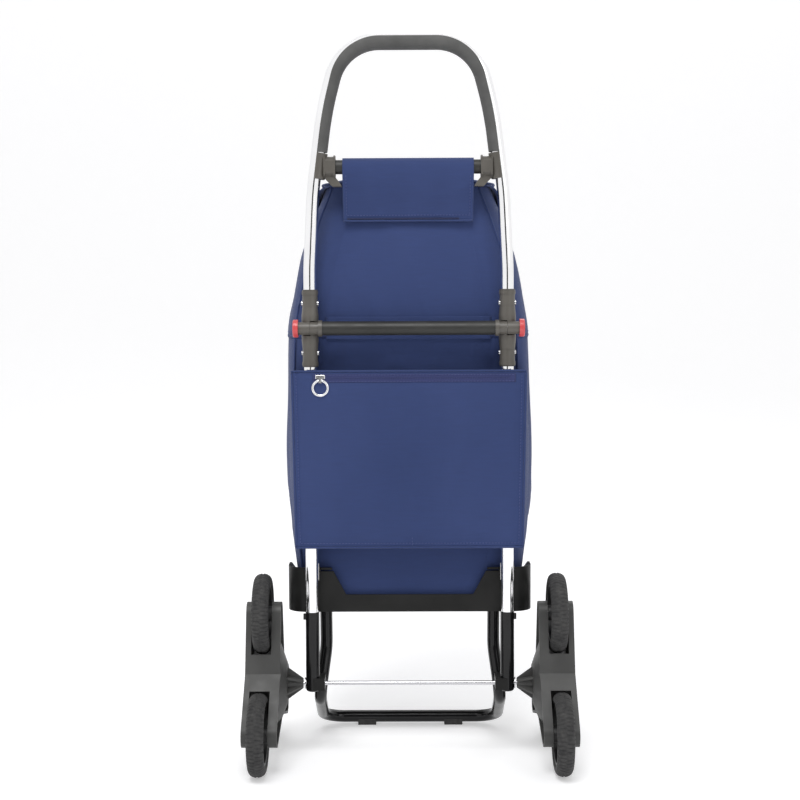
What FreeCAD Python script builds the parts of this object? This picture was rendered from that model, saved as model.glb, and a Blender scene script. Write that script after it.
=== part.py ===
"""Folding shopping trolley with a six-wheel stair-climbing undercarriage.

Axes: +X to the user's right, +Y away from the user (the bag's side), +Z up.
The model is drawn with Y = 0 at the wheel axle and Z = 0 on the floor. Every node is then moved
along Y, so that the origin is the middle of the footprint on the floor. All sizes are millimetres.
"""
import FreeCAD
import Part
import math
import os

os.makedirs("parts", exist_ok=True)
Vector = FreeCAD.Vector

# ---------------------------------------------------------------- clearances
running_gap = 0.05        # radial gap of a shaft that turns in a bore
face_gap = 0.4            # gap between faces that pass each other
soft_gap = 0.5            # gap between cloth and its neighbours

# ---------------------------------------------------------------- wheels and spiders
wheel_radius = 57.0
tyre_width = 24.0
tyre_inner_radius = 42.0
rim_width = 20.0
rim_thickness = 4.0
spoke_count = 5
spoke_width = 9.0
spoke_thickness = 8.0
wheel_hub_radius = 11.0
wheel_side_gap = 1.25
spider_reach = 101.0      # axle to wheel centre
spider_hub_radius = 44.0
spider_tip_radius = 17.0
spider_stand_off = 93.2   # tubes' centre line to the spider's outer face
spider_plate = 8.0
spider_slot = 28.5        # room between the two plates
wheel_well_gap = 4.0      # from tyre to the box between the plates
spider_dome_radius = 62.0
spider_dome_height = 13.0
hub_cone_base_radius = 23.0
hub_cone_tip_radius = 7.0
hub_cone_length = 22.0
hub_rib_count = 6
hub_rib_thickness = 3.0
spider_rim = 4.0          # width of the raised rim round the inner plate
spider_rim_height = 5.0
axle_end_inset = 1.3
pin_radius = 4.0
axle_radius = 3.0
cap_radius = 10.0
cap_depth = 4.5
cap_face_inset = 0.2

# ---------------------------------------------------------------- tubes
tube_radius = 9.0
tube_wall = 1.5
tube_half_spacing = 139.3
lower_tube_lift = 14.5    # the tubes end this far above the axle
pivot_height = 616.0
pivot_offset = 12.5       # the fold's axis is this far to the user's side of the tubes' centre line
handle_rise = 402.0       # pivot to the centre line of the handle's top
handle_lean_rise = 84.0   # the legs start to lean in at this height above the pivot
handle_bow_rise = 190.0
handle_bow_inset = 5.1    # how far the centre line has come in at that height
handle_shoulder_rise = 304.0
handle_shoulder_inset = 19.5
handle_corner_inset = 45.0
handle_corner_radius = 70.0
handle_bend_radius = 500.0
grip_thickness = 5.0      # on the inner side of the handle, less towards its edges
grip_edge_rise = 5.0      # across the top, the grip's edge lies this far above the centre line

# ---------------------------------------------------------------- folding joints
joint_sleeve_wall = 1.8
joint_sleeve_length = 54.5
joint_bead_width = 5.0
joint_bead_height = 0.8
joint_bead_inset = 2.0
fairing_step = 1.2        # the sleeve is this much thicker beside the pivot
fairing_length = 18.0
fairing_taper = 12.0
split_gap = 0.25          # from the pivot's level to each half
knuckle_radius = 9.0
knuckle_inner_lap = 0.3   # the knuckles reach this far beyond the fairing, on either side
knuckle_outer_lap = 4.7
knuckle_split_shift = 0.8
knuckle_clear = 1.5
joint_tube_stop = 16.0    # tube ends this far from the pivot's height
button_radius = 12.5
button_travel = 3.8
button_roof = 2.2
button_rounding = 1.8
button_lap = 0.6          # how far the button covers the knuckle at rest
spring_pocket_radius = 6.2
spring_pocket_depth = 12.5
joint_pin_radius = 4.0
joint_pin_head_radius = 5.6
joint_pin_head = 1.5
spring_radius = 5.0
spring_wire = 0.6
spring_turns = 5
rivet_radius = 2.4
rivet_head_radius = 3.8
rivet_head = 1.3
rivet_offset = 35.0       # rivets above and below the pivot

# ---------------------------------------------------------------- cross bars
crossbar_radius = 10.0
crossbar_wall = 1.6
collar_wall = 1.4
collar_length = 5.5
collar_lap = 3.0
bag_bar_radius = 10.0
bag_bar_rise = 226.0      # above the pivot
bag_bar_inset = 37.3      # the bar's ends, in from the tubes' centre line
bag_bar_spigot = 6.0
bag_bar_spigot_radius = 6.0
clip_radius = 16.4
clip_waist_radius = 14.6
clip_flange = 2.6
clip_length = 16.5
clip_half_depth = 12.0
clip_foot = 16.0          # the clamp's ends, below and above the bag bar's height
clip_head = 20.0
clip_proud = 0.6          # how far the clamp stands out of the grip's surface
clip_hook_drop = 11.0
clip_hook_reach = 9.0
clip_hook_half_depth = 6.6

# ---------------------------------------------------------------- leg sleeves and stand
sleeve_wall = 0.9
sleeve_lap = 3.0          # the sleeves reach this far above the tray's underside
sleeve_drop = 11.5        # and this far below the axle
sleeve_rounding = 4.0
sleeve_tab = 3.0
sleeve_tab_height = 8.0
washer_radius = 8.0
washer_thickness = 1.6
stand_radius = 9.0
stand_wall = 1.5
stand_bar_y = 172.0
stand_bar_inset = 5.3     # the stand's centre line, inside the tubes' centre line
stand_knee_inset = 8.3
stand_leg_inset = 17.3
stand_knee_y = 28.0
stand_knee_drop = 23.5    # below the axle
stand_bow_y = 50.0
stand_bow_rise = 42.5     # above the axle
stand_head_y = 44.0
stand_head_gap = 1.5      # from the stand's ends to the tray
stand_corner_radius = 34.0
stand_bend_radius = 60.0
pad_thickness = 2.5
pad_half_length = 14.0
pad_half_width = 9.0
pad_height = 9.0
pad_centre_inset = 72.6   # from the tubes' centre line
bracket_depth = 10.0
bracket_height = 17.0

# ---------------------------------------------------------------- tray
tray_overhang = 36.7      # beyond the tubes' centre line
tray_tube_gap = 4.0
tray_front = 236.0
tray_floor = 208.0
tray_height = 64.0
tray_lip_height = 25.0
tray_wall = 3.2
tray_corner = 28.0
tray_notch_inset = 26.3   # the low middle of the back wall, in from the tubes
tray_notch_slope = 21.6
tray_slot_depth = 12.0
tray_slot_drop = 14.0
tray_slope_start = 60.0
tray_slope_end = 200.0
tray_pin_radius = 2.0
tray_barrel_radius = 5.0
tray_barrel_length = 7.5
tray_lug_width = 6.0
tray_lug_height = 12.0
tray_lug_reach = 6.0      # beyond the tray's hinge line
tray_hinge_drop = 4.0
saddle_thickness = 1.0
saddle_overlap = 6.0
saddle_back = 3.0

# ---------------------------------------------------------------- bag
cloth = 2.4
bag_corner = 30.0
bag_tube_gap = 7.0
bag_foot_setback = 7.0    # the foot stands this much further from the tubes
bag_front_setback = 2.0   # behind the tray's front
bag_belly_share = 0.3644  # height of the widest place, from the tray's floor to the lid
bag_belly_overhang = 38.7 # half width beyond the tubes' centre line, at four heights
bag_foot_overhang = 26.7
bag_split_overhang = 33.7
bag_shoulder_overhang = 13.7
bag_shoulder_rise = 105.0 # above the pivot
bag_top_rise = 204.0
bag_top_inset = 18.3      # half width of the top, inside the tubes' centre line
bag_top_slant = 6.0       # the sides come in this much in the last stretch
bag_top_slant_drop = 18.0
bag_top_setback = 4.0
bag_top_front_setback = 28.0
bag_shoulder_setback = 14.0
bag_split_setback = 4.0
bag_foot_gap = 5.0        # to the tray's front wall
bag_foot_rise = 10.0
bag_foot_lean = 3.0
lid_thickness = 5.0
board_thickness = 3.0
board_margin = 8.0
flap_inset = 10.0         # at each end of the bag bar
flap_thickness = 2.6
flap_drop = 76.0          # below the bag bar's centre line
flap_back_drop = 18.0
pocket_overhang = 25.7    # beyond the tubes' centre line
pocket_lift = 34.0        # above the tray
pocket_drop = 60.0        # below the pivot
pocket_thickness = 6.0
pocket_return = 5.0
zip_inset = 10.0          # below the pocket's head
zip_band = 10.0
zip_thickness = 1.2
zip_start_inset = 30.0    # from the pocket's left side
zip_end_inset = 15.0
slider_inset = 10.4       # from the zip's left end
slider_rounding = 1.2
slider_length = 14.0
slider_height = 10.0
slider_thickness = 3.0
lug_width = 4.0
ring_radius = 10.6
ring_wire = 1.9
ring_hole = 2.3
ring_clear = 0.4
ring_drop = 3.0           # the ring's eye below the zip's middle

# ---------------------------------------------------------------- what follows from the sizes
axle_height = spider_reach / 2 + wheel_radius
spider_outer_face = tube_half_spacing + spider_stand_off
wheel_spread = spider_reach * math.cos(math.radians(30))
footprint_back = -(wheel_spread + wheel_radius)
middle_y = (tray_front + footprint_back) / 2
wheel_middle = spider_outer_face - spider_plate - spider_slot / 2
spider_inner_face = spider_outer_face - 2 * spider_plate - spider_slot
spider_dome_face = spider_inner_face - spider_dome_height
hub_cone_tip = spider_dome_face - hub_cone_length
pivot_y = -pivot_offset
joint_sleeve_radius = tube_radius + joint_sleeve_wall
fairing_radius = joint_sleeve_radius + fairing_step
sleeve_radius = tube_radius + sleeve_wall
collar_radius = crossbar_radius + collar_wall
handle_top = pivot_height + handle_rise
grip_radius = tube_radius + grip_thickness / 2
grip_shift = grip_thickness / 2
knuckle_inner = tube_half_spacing - fairing_radius - knuckle_inner_lap
knuckle_split = tube_half_spacing - knuckle_split_shift
knuckle_outer = tube_half_spacing + fairing_radius + knuckle_outer_lap
button_foot = knuckle_outer - button_lap
button_top = button_foot + button_lap + button_travel + 2 * face_gap + button_roof
pocket_floor = knuckle_outer - spring_pocket_depth
bag_bar_height = pivot_height + bag_bar_rise
bag_bar_half = tube_half_spacing - bag_bar_inset
stand_bar_half = tube_half_spacing - stand_bar_inset
stand_knee_half = tube_half_spacing - stand_knee_inset
stand_leg_half = tube_half_spacing - stand_leg_inset
stand_bar_z = pad_thickness + stand_radius
stand_head = tray_floor - stand_head_gap
stand_knee_z = axle_height - stand_knee_drop
stand_bow_z = axle_height + stand_bow_rise
pad_centre = tube_half_spacing - pad_centre_inset
lower_tube_foot = axle_height + lower_tube_lift
sleeve_head = tray_floor + sleeve_lap
sleeve_foot = axle_height - sleeve_drop
tray_head = tray_floor + tray_height
tray_half_width = tube_half_spacing + tray_overhang
tray_back = tube_radius + tray_tube_gap
tray_notch_top = tube_half_spacing - tray_notch_inset
tray_notch_foot = tray_notch_top - tray_notch_slope
tray_hinge_y = tray_back + tray_wall / 2
tray_hinge_z = tray_head - tray_hinge_drop
pocket_back = -(tube_radius + soft_gap)
pocket_front = pocket_back - pocket_thickness
split_height = pivot_height
bag_back = tube_radius + bag_tube_gap
bag_foot_back = bag_back + bag_foot_setback
bag_front = tray_front - bag_front_setback
bag_top_height = pivot_height + bag_top_rise
bag_belly_height = tray_floor + bag_belly_share * (bag_top_height - tray_floor)
bag_shoulder_height = pivot_height + bag_shoulder_rise
bag_foot_half = tube_half_spacing + bag_foot_overhang
bag_belly_half = tube_half_spacing + bag_belly_overhang
bag_split_half = tube_half_spacing + bag_split_overhang
bag_shoulder_half = tube_half_spacing + bag_shoulder_overhang
bag_top_half = tube_half_spacing - bag_top_inset
bag_top_back = bag_back + bag_top_setback
bag_top_front = bag_front - bag_top_front_setback
flap_half_width = bag_bar_half - flap_inset
flap_foot = bag_bar_height - flap_drop
flap_back_foot = bag_bar_height - flap_back_drop
pocket_half_width = tube_half_spacing + pocket_overhang
pocket_foot = tray_head + pocket_lift
pocket_head = pivot_height - pocket_drop
zip_height = pocket_head - zip_inset
zip_start = zip_start_inset - pocket_half_width
zip_end = pocket_half_width - zip_end_inset
slider_x = zip_start + slider_inset


# ---------------------------------------------------------------- helpers
def box(x0, x1, y0, y1, z0, z1):
    return Part.makeBox(x1 - x0, y1 - y0, z1 - z0, Vector(x0, y0, z0))


def rod_x(radius, x0, x1, y, z):
    return Part.makeCylinder(radius, x1 - x0, Vector(x0, y, z), Vector(1, 0, 0))


def rod_z(radius, x, y, z0, z1):
    return Part.makeCylinder(radius, z1 - z0, Vector(x, y, z0))


def prism_x(outline, x0, x1):
    """A closed outline of (y, z) points, drawn out from x0 to x1."""
    points = [Vector(x0, y, z) for y, z in outline]
    face = Part.Face(Part.makePolygon(points + points[:1]))
    return face.extrude(Vector(x1 - x0, 0, 0))


def prism_y(outline, y0, y1):
    """A closed outline of (x, z) points, drawn out from y0 to y1."""
    points = [Vector(x, y0, z) for x, z in outline]
    face = Part.Face(Part.makePolygon(points + points[:1]))
    return face.extrude(Vector(0, y1 - y0, 0))


def rounded_path(points, radii):
    """Straight runs through the points, with an arc of the given radius at each inner point."""
    edges = []
    start = points[0]
    for before, corner, after, radius in zip(points, points[1:], points[2:], radii):
        into = (corner - before).normalize()
        away = (after - corner).normalize()
        turn = into.getAngle(away)
        reach = radius * math.tan(turn / 2)
        arc_start = corner - into * reach
        arc_end = corner + away * reach
        bisector = (away - into).normalize()
        centre = corner + bisector * (radius / math.cos(turn / 2))
        arc_middle = centre - bisector * radius
        edges.append(Part.LineSegment(start, arc_start).toShape())
        edges.append(Part.Arc(arc_start, arc_middle, arc_end).toShape())
        start = arc_end
    edges.append(Part.LineSegment(start, points[-1]).toShape())
    return Part.Wire(edges)


def sweep_circle(path, radius):
    first = path.OrderedEdges[0]
    start = first.valueAt(first.FirstParameter)
    along = first.tangentAt(first.FirstParameter)
    circle = Part.Wire(Part.makeCircle(radius, start, along))
    return path.makePipeShell([circle], True, False)


def pipe(path, radius, wall):
    return sweep_circle(path, radius).cut(sweep_circle(path, radius - wall))


def join(shapes):
    whole = shapes[0]
    for shape in shapes[1:]:
        whole = whole.fuse(shape)
    return whole.removeSplitter()


def mirrored(shape):
    return shape.mirror(Vector(0, 0, 0), Vector(1, 0, 0))


def rounded_rectangle(half_width, back, front, corner, z):
    """A closed wire in a level plane, with four round corners."""
    x = half_width - corner
    edges = []
    near = back + corner
    far = front - corner
    centres = [(x, far, 0), (-x, far, 90), (-x, near, 180), (x, near, 270)]
    ends = []
    for cx, cy, angle in centres:
        arc = [
            Vector(
                cx + corner * math.cos(math.radians(angle + step)),
                cy + corner * math.sin(math.radians(angle + step)),
                z,
            )
            for step in (0, 45, 90)
        ]
        ends.append(arc)
    for index, arc in enumerate(ends):
        edges.append(Part.Arc(*arc).toShape())
        edges.append(Part.LineSegment(arc[2], ends[(index + 1) % 4][0]).toShape())
    return Part.Wire(edges)


def loft(sections):
    """Sections are (half width, back, front, corner, height)."""
    return Part.makeLoft([rounded_rectangle(*section) for section in sections], True, True)


def shell(sections, closed_foot):
    """A cloth shell with the given outside, open at the top and, if asked, closed below."""
    inner = [
        (half - cloth, back + cloth, front - cloth, corner - cloth, z)
        for half, back, front, corner, z in sections
    ]
    foot = inner[0]
    head = inner[-1]
    foot_z = foot[4] + cloth if closed_foot else foot[4] - 1.0
    inner[0] = foot[:4] + (foot_z,)
    inner.append(head[:4] + (head[4] + 1.0,))
    return loft(sections).cut(loft(inner))


# ---------------------------------------------------------------- handle
def leg_point(inset, rise):
    """A point of the right-hand leg's centre line."""
    return Vector(tube_half_spacing - inset, 0, pivot_height + rise)


def handle_path(shift=0.0, lift=0.0):
    """The handle's centre line. shift moves it inwards all round, lift raises its top."""
    right = [
        leg_point(shift, joint_tube_stop),
        leg_point(shift, handle_lean_rise),
        leg_point(handle_bow_inset + shift, handle_bow_rise),
        leg_point(handle_shoulder_inset + shift, handle_shoulder_rise),
        leg_point(handle_corner_inset + shift, handle_rise + lift - shift),
    ]
    left = [Vector(-p.x, p.y, p.z) for p in reversed(right)]
    bends = [handle_bend_radius, handle_bend_radius, handle_bend_radius, handle_corner_radius - shift]
    return rounded_path(right + left, bends + bends[::-1])


def clip_centre():
    """The tube's centre and direction at the height of the bag bar."""
    bow = leg_point(handle_bow_inset, handle_bow_rise)
    along = leg_point(handle_shoulder_inset, handle_shoulder_rise) - bow
    share = (bag_bar_rise - handle_bow_rise) / (handle_shoulder_rise - handle_bow_rise)
    return bow + along * share, Vector(along).normalize()


def handle_tube():
    tube = pipe(handle_path(), tube_radius, tube_wall)
    rivet_z = pivot_height + rivet_offset
    return tube.cut(rod_x(rivet_radius, -tube_half_spacing * 2, tube_half_spacing * 2, 0, rivet_z))


def inside_handle(depth):
    """A slab that fills the handle's loop, out to the centre line of its legs."""
    route = handle_path(0.0, grip_edge_rise)
    ends = [vertex.Point for vertex in route.OrderedVertexes]
    closing = Part.LineSegment(ends[-1], ends[0]).toShape()
    face = Part.Face(Part.Wire(route.OrderedEdges + [closing]))
    face.translate(Vector(0, -depth, 0))
    return face.extrude(Vector(0, 2 * depth, 0))


def handle_grip(solid_handle):
    """A soft grip, thick on the inner side, that leaves the outer side of the tube bare."""
    reach = 2 * grip_radius
    foot = bag_bar_height + clip_head + face_gap
    side = tube_half_spacing + reach
    keep = box(-side, side, -reach, reach, foot, handle_top + reach)
    sleeve = sweep_circle(handle_path(grip_shift), grip_radius).common(keep)
    return sleeve.common(inside_handle(reach).common(keep)).cut(solid_handle)


def bar_clip(solid_handle):
    """Right-hand clip: a clamp on the tube's inner side, a flanged boss for the bag bar, and a hook."""
    centre, along = clip_centre()
    inward = Vector(-along.z, 0, along.x)
    foot = centre - along * clip_foot + inward * grip_shift
    clamp = Part.makeCylinder(grip_radius + clip_proud, clip_foot + clip_head, foot, along)
    clamp = clamp.common(inside_handle(2 * grip_radius))
    end = bag_bar_half + clip_length
    waist = rod_x(clip_waist_radius, bag_bar_half, end, 0, bag_bar_height)
    near = rod_x(clip_radius, bag_bar_half, bag_bar_half + clip_flange, 0, bag_bar_height)
    far = rod_x(clip_radius, end - clip_flange, end, 0, bag_bar_height)
    boss = join([waist, near, far])
    low = bag_bar_height - clip_radius
    boss = boss.common(box(0, end, -clip_half_depth, clip_half_depth, low, bag_bar_height + clip_radius))
    hook = prism_y(
        [
            (end - 1, low + clip_radius / 2),
            (end - 1, low + 1),
            (bag_bar_half + 4, low - clip_hook_drop),
            (bag_bar_half - clip_hook_reach, low - clip_hook_drop),
            (bag_bar_half - clip_hook_reach + 3, low - clip_hook_drop / 2),
            (bag_bar_half, low + 2),
            (bag_bar_half, low + clip_radius / 2),
        ],
        -clip_hook_half_depth,
        clip_hook_half_depth,
    )
    whole = join([clamp, boss, hook])
    spigot = rod_x(bag_bar_spigot_radius, bag_bar_half - 1, bag_bar_half + bag_bar_spigot, 0, bag_bar_height)
    return whole.cut(spigot).cut(solid_handle)


def bag_bar():
    bar = rod_x(bag_bar_radius, -bag_bar_half, bag_bar_half, 0, bag_bar_height)
    spigot = bag_bar_half + bag_bar_spigot
    return bar.fuse(rod_x(bag_bar_spigot_radius, -spigot, spigot, 0, bag_bar_height)).removeSplitter()


# ---------------------------------------------------------------- folding joints
def from_pivot(up, near, far):
    """Two heights that lie this far from the pivot, above it or below it, in rising order."""
    return sorted((pivot_height + up * near, pivot_height + up * far))


def joint_half(up):
    """One half of the right-hand folding joint. up is 1 for the upper half and -1 for the lower."""
    x = tube_half_spacing
    sleeve = rod_z(joint_sleeve_radius, x, 0, *from_pivot(up, split_gap, joint_sleeve_length))
    bead_end = joint_sleeve_length - joint_bead_inset
    bead_span = from_pivot(up, bead_end - joint_bead_width, bead_end)
    bead = rod_z(joint_sleeve_radius + joint_bead_height, x, 0, *bead_span)
    fairing_y = pivot_y + fairing_radius
    fairing = rod_z(fairing_radius, x, fairing_y, *from_pivot(up, split_gap, fairing_length))
    taper = Part.makeCone(
        fairing_radius,
        joint_sleeve_radius,
        fairing_taper,
        Vector(x, fairing_y, pivot_height + up * fairing_length),
        Vector(0, 0, up),
    )
    if up > 0:
        own = (knuckle_split + face_gap / 2, knuckle_outer)
        other = (knuckle_inner - fairing_radius, knuckle_split + face_gap / 2)
    else:
        own = (knuckle_inner, knuckle_split - face_gap / 2)
        other = (knuckle_split - face_gap / 2, knuckle_outer + fairing_radius)
    body = join([sleeve, bead, fairing, taper])
    body = body.cut(rod_x(knuckle_radius + knuckle_clear, other[0], other[1], pivot_y, pivot_height))
    half = join([body, rod_x(knuckle_radius, own[0], own[1], pivot_y, pivot_height)])
    half = half.cut(rod_z(tube_radius, x, 0, *from_pivot(up, joint_tube_stop, joint_sleeve_length + 1)))
    rivet_z = pivot_height + up * rivet_offset
    half = half.cut(rod_x(rivet_radius, x - 2 * tube_radius, x + 2 * tube_radius, 0, rivet_z))
    bore = joint_pin_radius if up < 0 else joint_pin_radius + running_gap
    half = half.cut(rod_x(bore, own[0] - 1, own[1] + 1, pivot_y, pivot_height))
    if up > 0:
        half = half.cut(rod_x(spring_pocket_radius, pocket_floor, knuckle_outer + 1, pivot_y, pivot_height))
    return half


def joint_pin():
    head_start = pocket_floor + face_gap / 2
    shank = rod_x(joint_pin_radius, knuckle_inner - collar_lap + 0.5, head_start, pivot_y, pivot_height)
    head = rod_x(joint_pin_head_radius, head_start, head_start + joint_pin_head, pivot_y, pivot_height)
    return shank.fuse(head).removeSplitter()


def release_button():
    """A cup that slides over the upper half's knuckle."""
    cap = rod_x(button_radius, button_foot, button_top, pivot_y, pivot_height)
    rim = [edge for edge in cap.Edges if abs(edge.CenterOfMass.x - button_top) < 0.01]
    cap = cap.makeFillet(button_rounding, rim)
    bore = knuckle_radius + running_gap
    return cap.cut(rod_x(bore, button_foot - 1, button_top - button_roof, pivot_y, pivot_height))


def button_spring():
    start = pocket_floor + face_gap / 2 + joint_pin_head + face_gap + spring_wire
    end = button_top - button_roof - face_gap - spring_wire
    height = end - start
    helix = Part.makeHelix(height / spring_turns, height, spring_radius)
    circle = Part.Wire(Part.makeCircle(spring_wire, Vector(spring_radius, 0, 0), Vector(0, 1, 0)))
    coil = Part.Wire(helix).makePipeShell([circle], True, True)
    coil.rotate(Vector(0, 0, 0), Vector(0, 1, 0), 90)
    coil.translate(Vector(start, pivot_y, pivot_height))
    return coil


def joint_rivet(up):
    """A rivet through sleeve and tube, whose heads sit on the sleeve's round surface."""
    z = pivot_height + up * rivet_offset
    inner = tube_half_spacing - joint_sleeve_radius - rivet_head
    outer = tube_half_spacing + joint_sleeve_radius + rivet_head
    reach = 2 * rivet_head_radius
    sleeve = rod_z(joint_sleeve_radius, tube_half_spacing, 0, z - reach, z + reach)
    heads = rod_x(rivet_head_radius, inner, outer, 0, z).cut(sleeve)
    return join([rod_x(rivet_radius, inner, outer, 0, z), heads])


# ---------------------------------------------------------------- cross bar at the joints
def joint_crossbar():
    end = knuckle_inner - collar_length + collar_lap
    outer = rod_x(crossbar_radius, -end, end, pivot_y, pivot_height)
    return outer.cut(rod_x(crossbar_radius - crossbar_wall, -end - 1, end + 1, pivot_y, pivot_height))


def crossbar_collar():
    bar_end = knuckle_inner - collar_length + collar_lap
    start = knuckle_inner - collar_length
    collar = rod_x(collar_radius, start, knuckle_inner, pivot_y, pivot_height)
    collar = collar.cut(rod_x(crossbar_radius, start - 1, bar_end, pivot_y, pivot_height))
    return collar.cut(rod_x(joint_pin_radius, bar_end - 1, knuckle_inner + 1, pivot_y, pivot_height))


# ---------------------------------------------------------------- lower frame
def lower_tube():
    head = pivot_height - joint_tube_stop
    tube = rod_z(tube_radius, tube_half_spacing, 0, lower_tube_foot, head)
    tube = tube.cut(rod_z(tube_radius - tube_wall, tube_half_spacing, 0, lower_tube_foot - 1, head + 1))
    rivet_z = pivot_height - rivet_offset
    return tube.cut(rod_x(rivet_radius, 0, tube_half_spacing * 2, 0, rivet_z))


def leg_sleeve():
    sleeve = rod_z(sleeve_radius, tube_half_spacing, 0, sleeve_foot, sleeve_head)
    toe = [edge for edge in sleeve.Edges if abs(edge.CenterOfMass.z - sleeve_foot) < 0.01]
    sleeve = sleeve.makeFillet(sleeve_rounding, toe)
    outer = tube_half_spacing + sleeve_radius
    tab = box(outer - 1, outer + sleeve_tab, -3, 3, sleeve_head - sleeve_tab_height - 3, sleeve_head - 3)
    sleeve = join([sleeve, tab])
    sleeve = sleeve.cut(rod_z(tube_radius, tube_half_spacing, 0, lower_tube_foot, sleeve_head + 1))
    return sleeve.cut(rod_x(axle_radius, tube_half_spacing - 20, tube_half_spacing + 20, 0, axle_height))


def axle():
    end = spider_outer_face - axle_end_inset
    return rod_x(axle_radius, -end, end, 0, axle_height)


def axle_washer():
    start = tube_half_spacing + sleeve_radius
    disc = rod_x(washer_radius, start, start + washer_thickness, 0, axle_height)
    return disc.cut(rod_x(axle_radius, start - 1, start + washer_thickness + 1, 0, axle_height))


def axle_cap():
    start = spider_outer_face - cap_depth + face_gap
    end = spider_outer_face - cap_face_inset
    cap = rod_x(cap_radius, start, end, 0, axle_height)
    rim = [edge for edge in cap.Edges if abs(edge.CenterOfMass.x - end) < 0.01]
    cap = cap.makeFillet(1.0, rim)
    return cap.cut(axle())


def stand_path():
    right = [
        Vector(stand_leg_half, stand_head_y, stand_head),
        Vector(stand_leg_half, stand_bow_y, stand_bow_z),
        Vector(stand_knee_half, stand_knee_y, stand_knee_z),
        Vector(stand_bar_half, stand_bar_y, stand_bar_z),
    ]
    left = [Vector(-p.x, p.y, p.z) for p in reversed(right)]
    bends = [stand_bend_radius, stand_corner_radius, stand_corner_radius]
    return rounded_path(right + left, bends + bends[::-1])


def stand_tube():
    return pipe(stand_path(), stand_radius, stand_wall)


def foot_pad(solid_tube):
    block = box(
        pad_centre - pad_half_length,
        pad_centre + pad_half_length,
        stand_bar_y - pad_half_width,
        stand_bar_y + pad_half_width,
        0,
        pad_height,
    )
    return block.cut(solid_tube)


def stand_bracket(solid_tube):
    inner = stand_knee_half - stand_radius
    block = box(
        inner,
        tube_half_spacing,
        -bracket_depth,
        stand_knee_y,
        axle_height - bracket_height / 2,
        axle_height + bracket_height / 2,
    )
    block = block.cut(rod_z(sleeve_radius, tube_half_spacing, 0, sleeve_foot - 20, sleeve_head))
    block = block.cut(solid_tube).cut(axle())
    return max(block.Solids, key=lambda solid: solid.Volume)


def tray_bracket():
    low = tray_hinge_z - tray_lug_height / 2
    high = tray_hinge_z + tray_lug_height / 2
    half = tray_lug_width / 2
    lug = box(tube_half_spacing - half, tube_half_spacing + half, 0, tray_hinge_y + tray_lug_reach, low, high)
    foot = low - saddle_overlap
    head = high + saddle_overlap
    reach = 2 * tube_radius
    saddle = rod_z(tube_radius + saddle_thickness, tube_half_spacing, 0, foot, head)
    x = tube_half_spacing
    saddle = saddle.common(box(x - reach, x + reach, saddle_back, reach, foot, head))
    whole = lug.fuse(saddle).removeSplitter()
    whole = whole.cut(rod_z(tube_radius, tube_half_spacing, 0, foot - 1, head + 1))
    return whole.cut(rod_x(tray_pin_radius + running_gap, 0, tray_half_width, tray_hinge_y, tray_hinge_z))


# ---------------------------------------------------------------- tray
def tray():
    wall = tray_wall
    outer = (tray_half_width, tray_back, tray_front, tray_corner)
    inner = (tray_half_width - wall, tray_back + wall, tray_front - wall, tray_corner - wall)
    body = loft([outer + (tray_floor,), outer + (tray_head,)])
    body = body.cut(loft([inner + (tray_floor + tray_wall,), inner + (tray_head + 1,)]))
    lip = tray_floor + tray_lip_height
    notch = [
        (-tray_notch_foot, lip),
        (tray_notch_foot, lip),
        (tray_notch_top, tray_head + 1),
        (-tray_notch_top, tray_head + 1),
    ]
    body = body.cut(prism_y(notch, tray_back - 1, tray_back + tray_wall + 1))
    slope = [
        (tray_slope_start, tray_head + 1),
        (tray_slope_end, lip),
        (tray_front + 1, lip),
        (tray_front + 1, tray_head + 20),
        (tray_slope_start, tray_head + 20),
    ]
    body = body.cut(prism_x(slope, -tray_half_width - 1, tray_half_width + 1))
    half_slot = tray_lug_width / 2 + face_gap
    for side in (-1, 1):
        centre = side * tube_half_spacing
        slot_end = tray_back + tray_slot_depth
        slot_foot = tray_hinge_z - tray_slot_drop
        slot = box(centre - half_slot, centre + half_slot, tray_back - 1, slot_end, slot_foot, tray_head + 1)
        body = body.cut(slot)
        for end in (-1, 1):
            near = centre + end * half_slot
            x0, x1 = sorted((near, near + end * tray_barrel_length))
            body = body.fuse(rod_x(tray_barrel_radius, x0, x1, tray_hinge_y, tray_hinge_z))
    body = body.removeSplitter()
    reach = tube_half_spacing + half_slot + tray_barrel_length + 1
    return body.cut(rod_x(tray_pin_radius, -reach, reach, tray_hinge_y, tray_hinge_z))


def tray_pin():
    reach = tray_lug_width / 2 + face_gap + tray_barrel_length
    start = tube_half_spacing - reach
    return rod_x(tray_pin_radius, start, start + 2 * reach, tray_hinge_y, tray_hinge_z)


# ---------------------------------------------------------------- spiders and wheels
def wheel_centres():
    angles = [math.radians(90 + 120 * step) for step in range(3)]
    return [(spider_reach * math.cos(a), axle_height + spider_reach * math.sin(a)) for a in angles]


def lobed_plate(x0, x1, inset=0.0):
    """The three-lobed outline, a hub circle with a tapering arm to each wheel, drawn out along X."""
    hub = spider_hub_radius - inset
    tip = spider_tip_radius - inset
    whole = rod_x(hub, x0, x1, 0, axle_height)
    lean = math.asin((hub - tip) / spider_reach)
    for y, z in wheel_centres():
        heading = math.atan2(z - axle_height, y)
        outline = []
        for side, order in ((1, (0, 1)), (-1, (1, 0))):
            normal = heading + side * (math.pi / 2 - lean)
            pair = [
                (hub * math.cos(normal), axle_height + hub * math.sin(normal)),
                (y + tip * math.cos(normal), z + tip * math.sin(normal)),
            ]
            outline += [pair[order[0]], pair[order[1]]]
        whole = whole.fuse(prism_x(outline, x0, x1)).fuse(rod_x(tip, x0, x1, y, z))
    return whole.removeSplitter()


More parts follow.
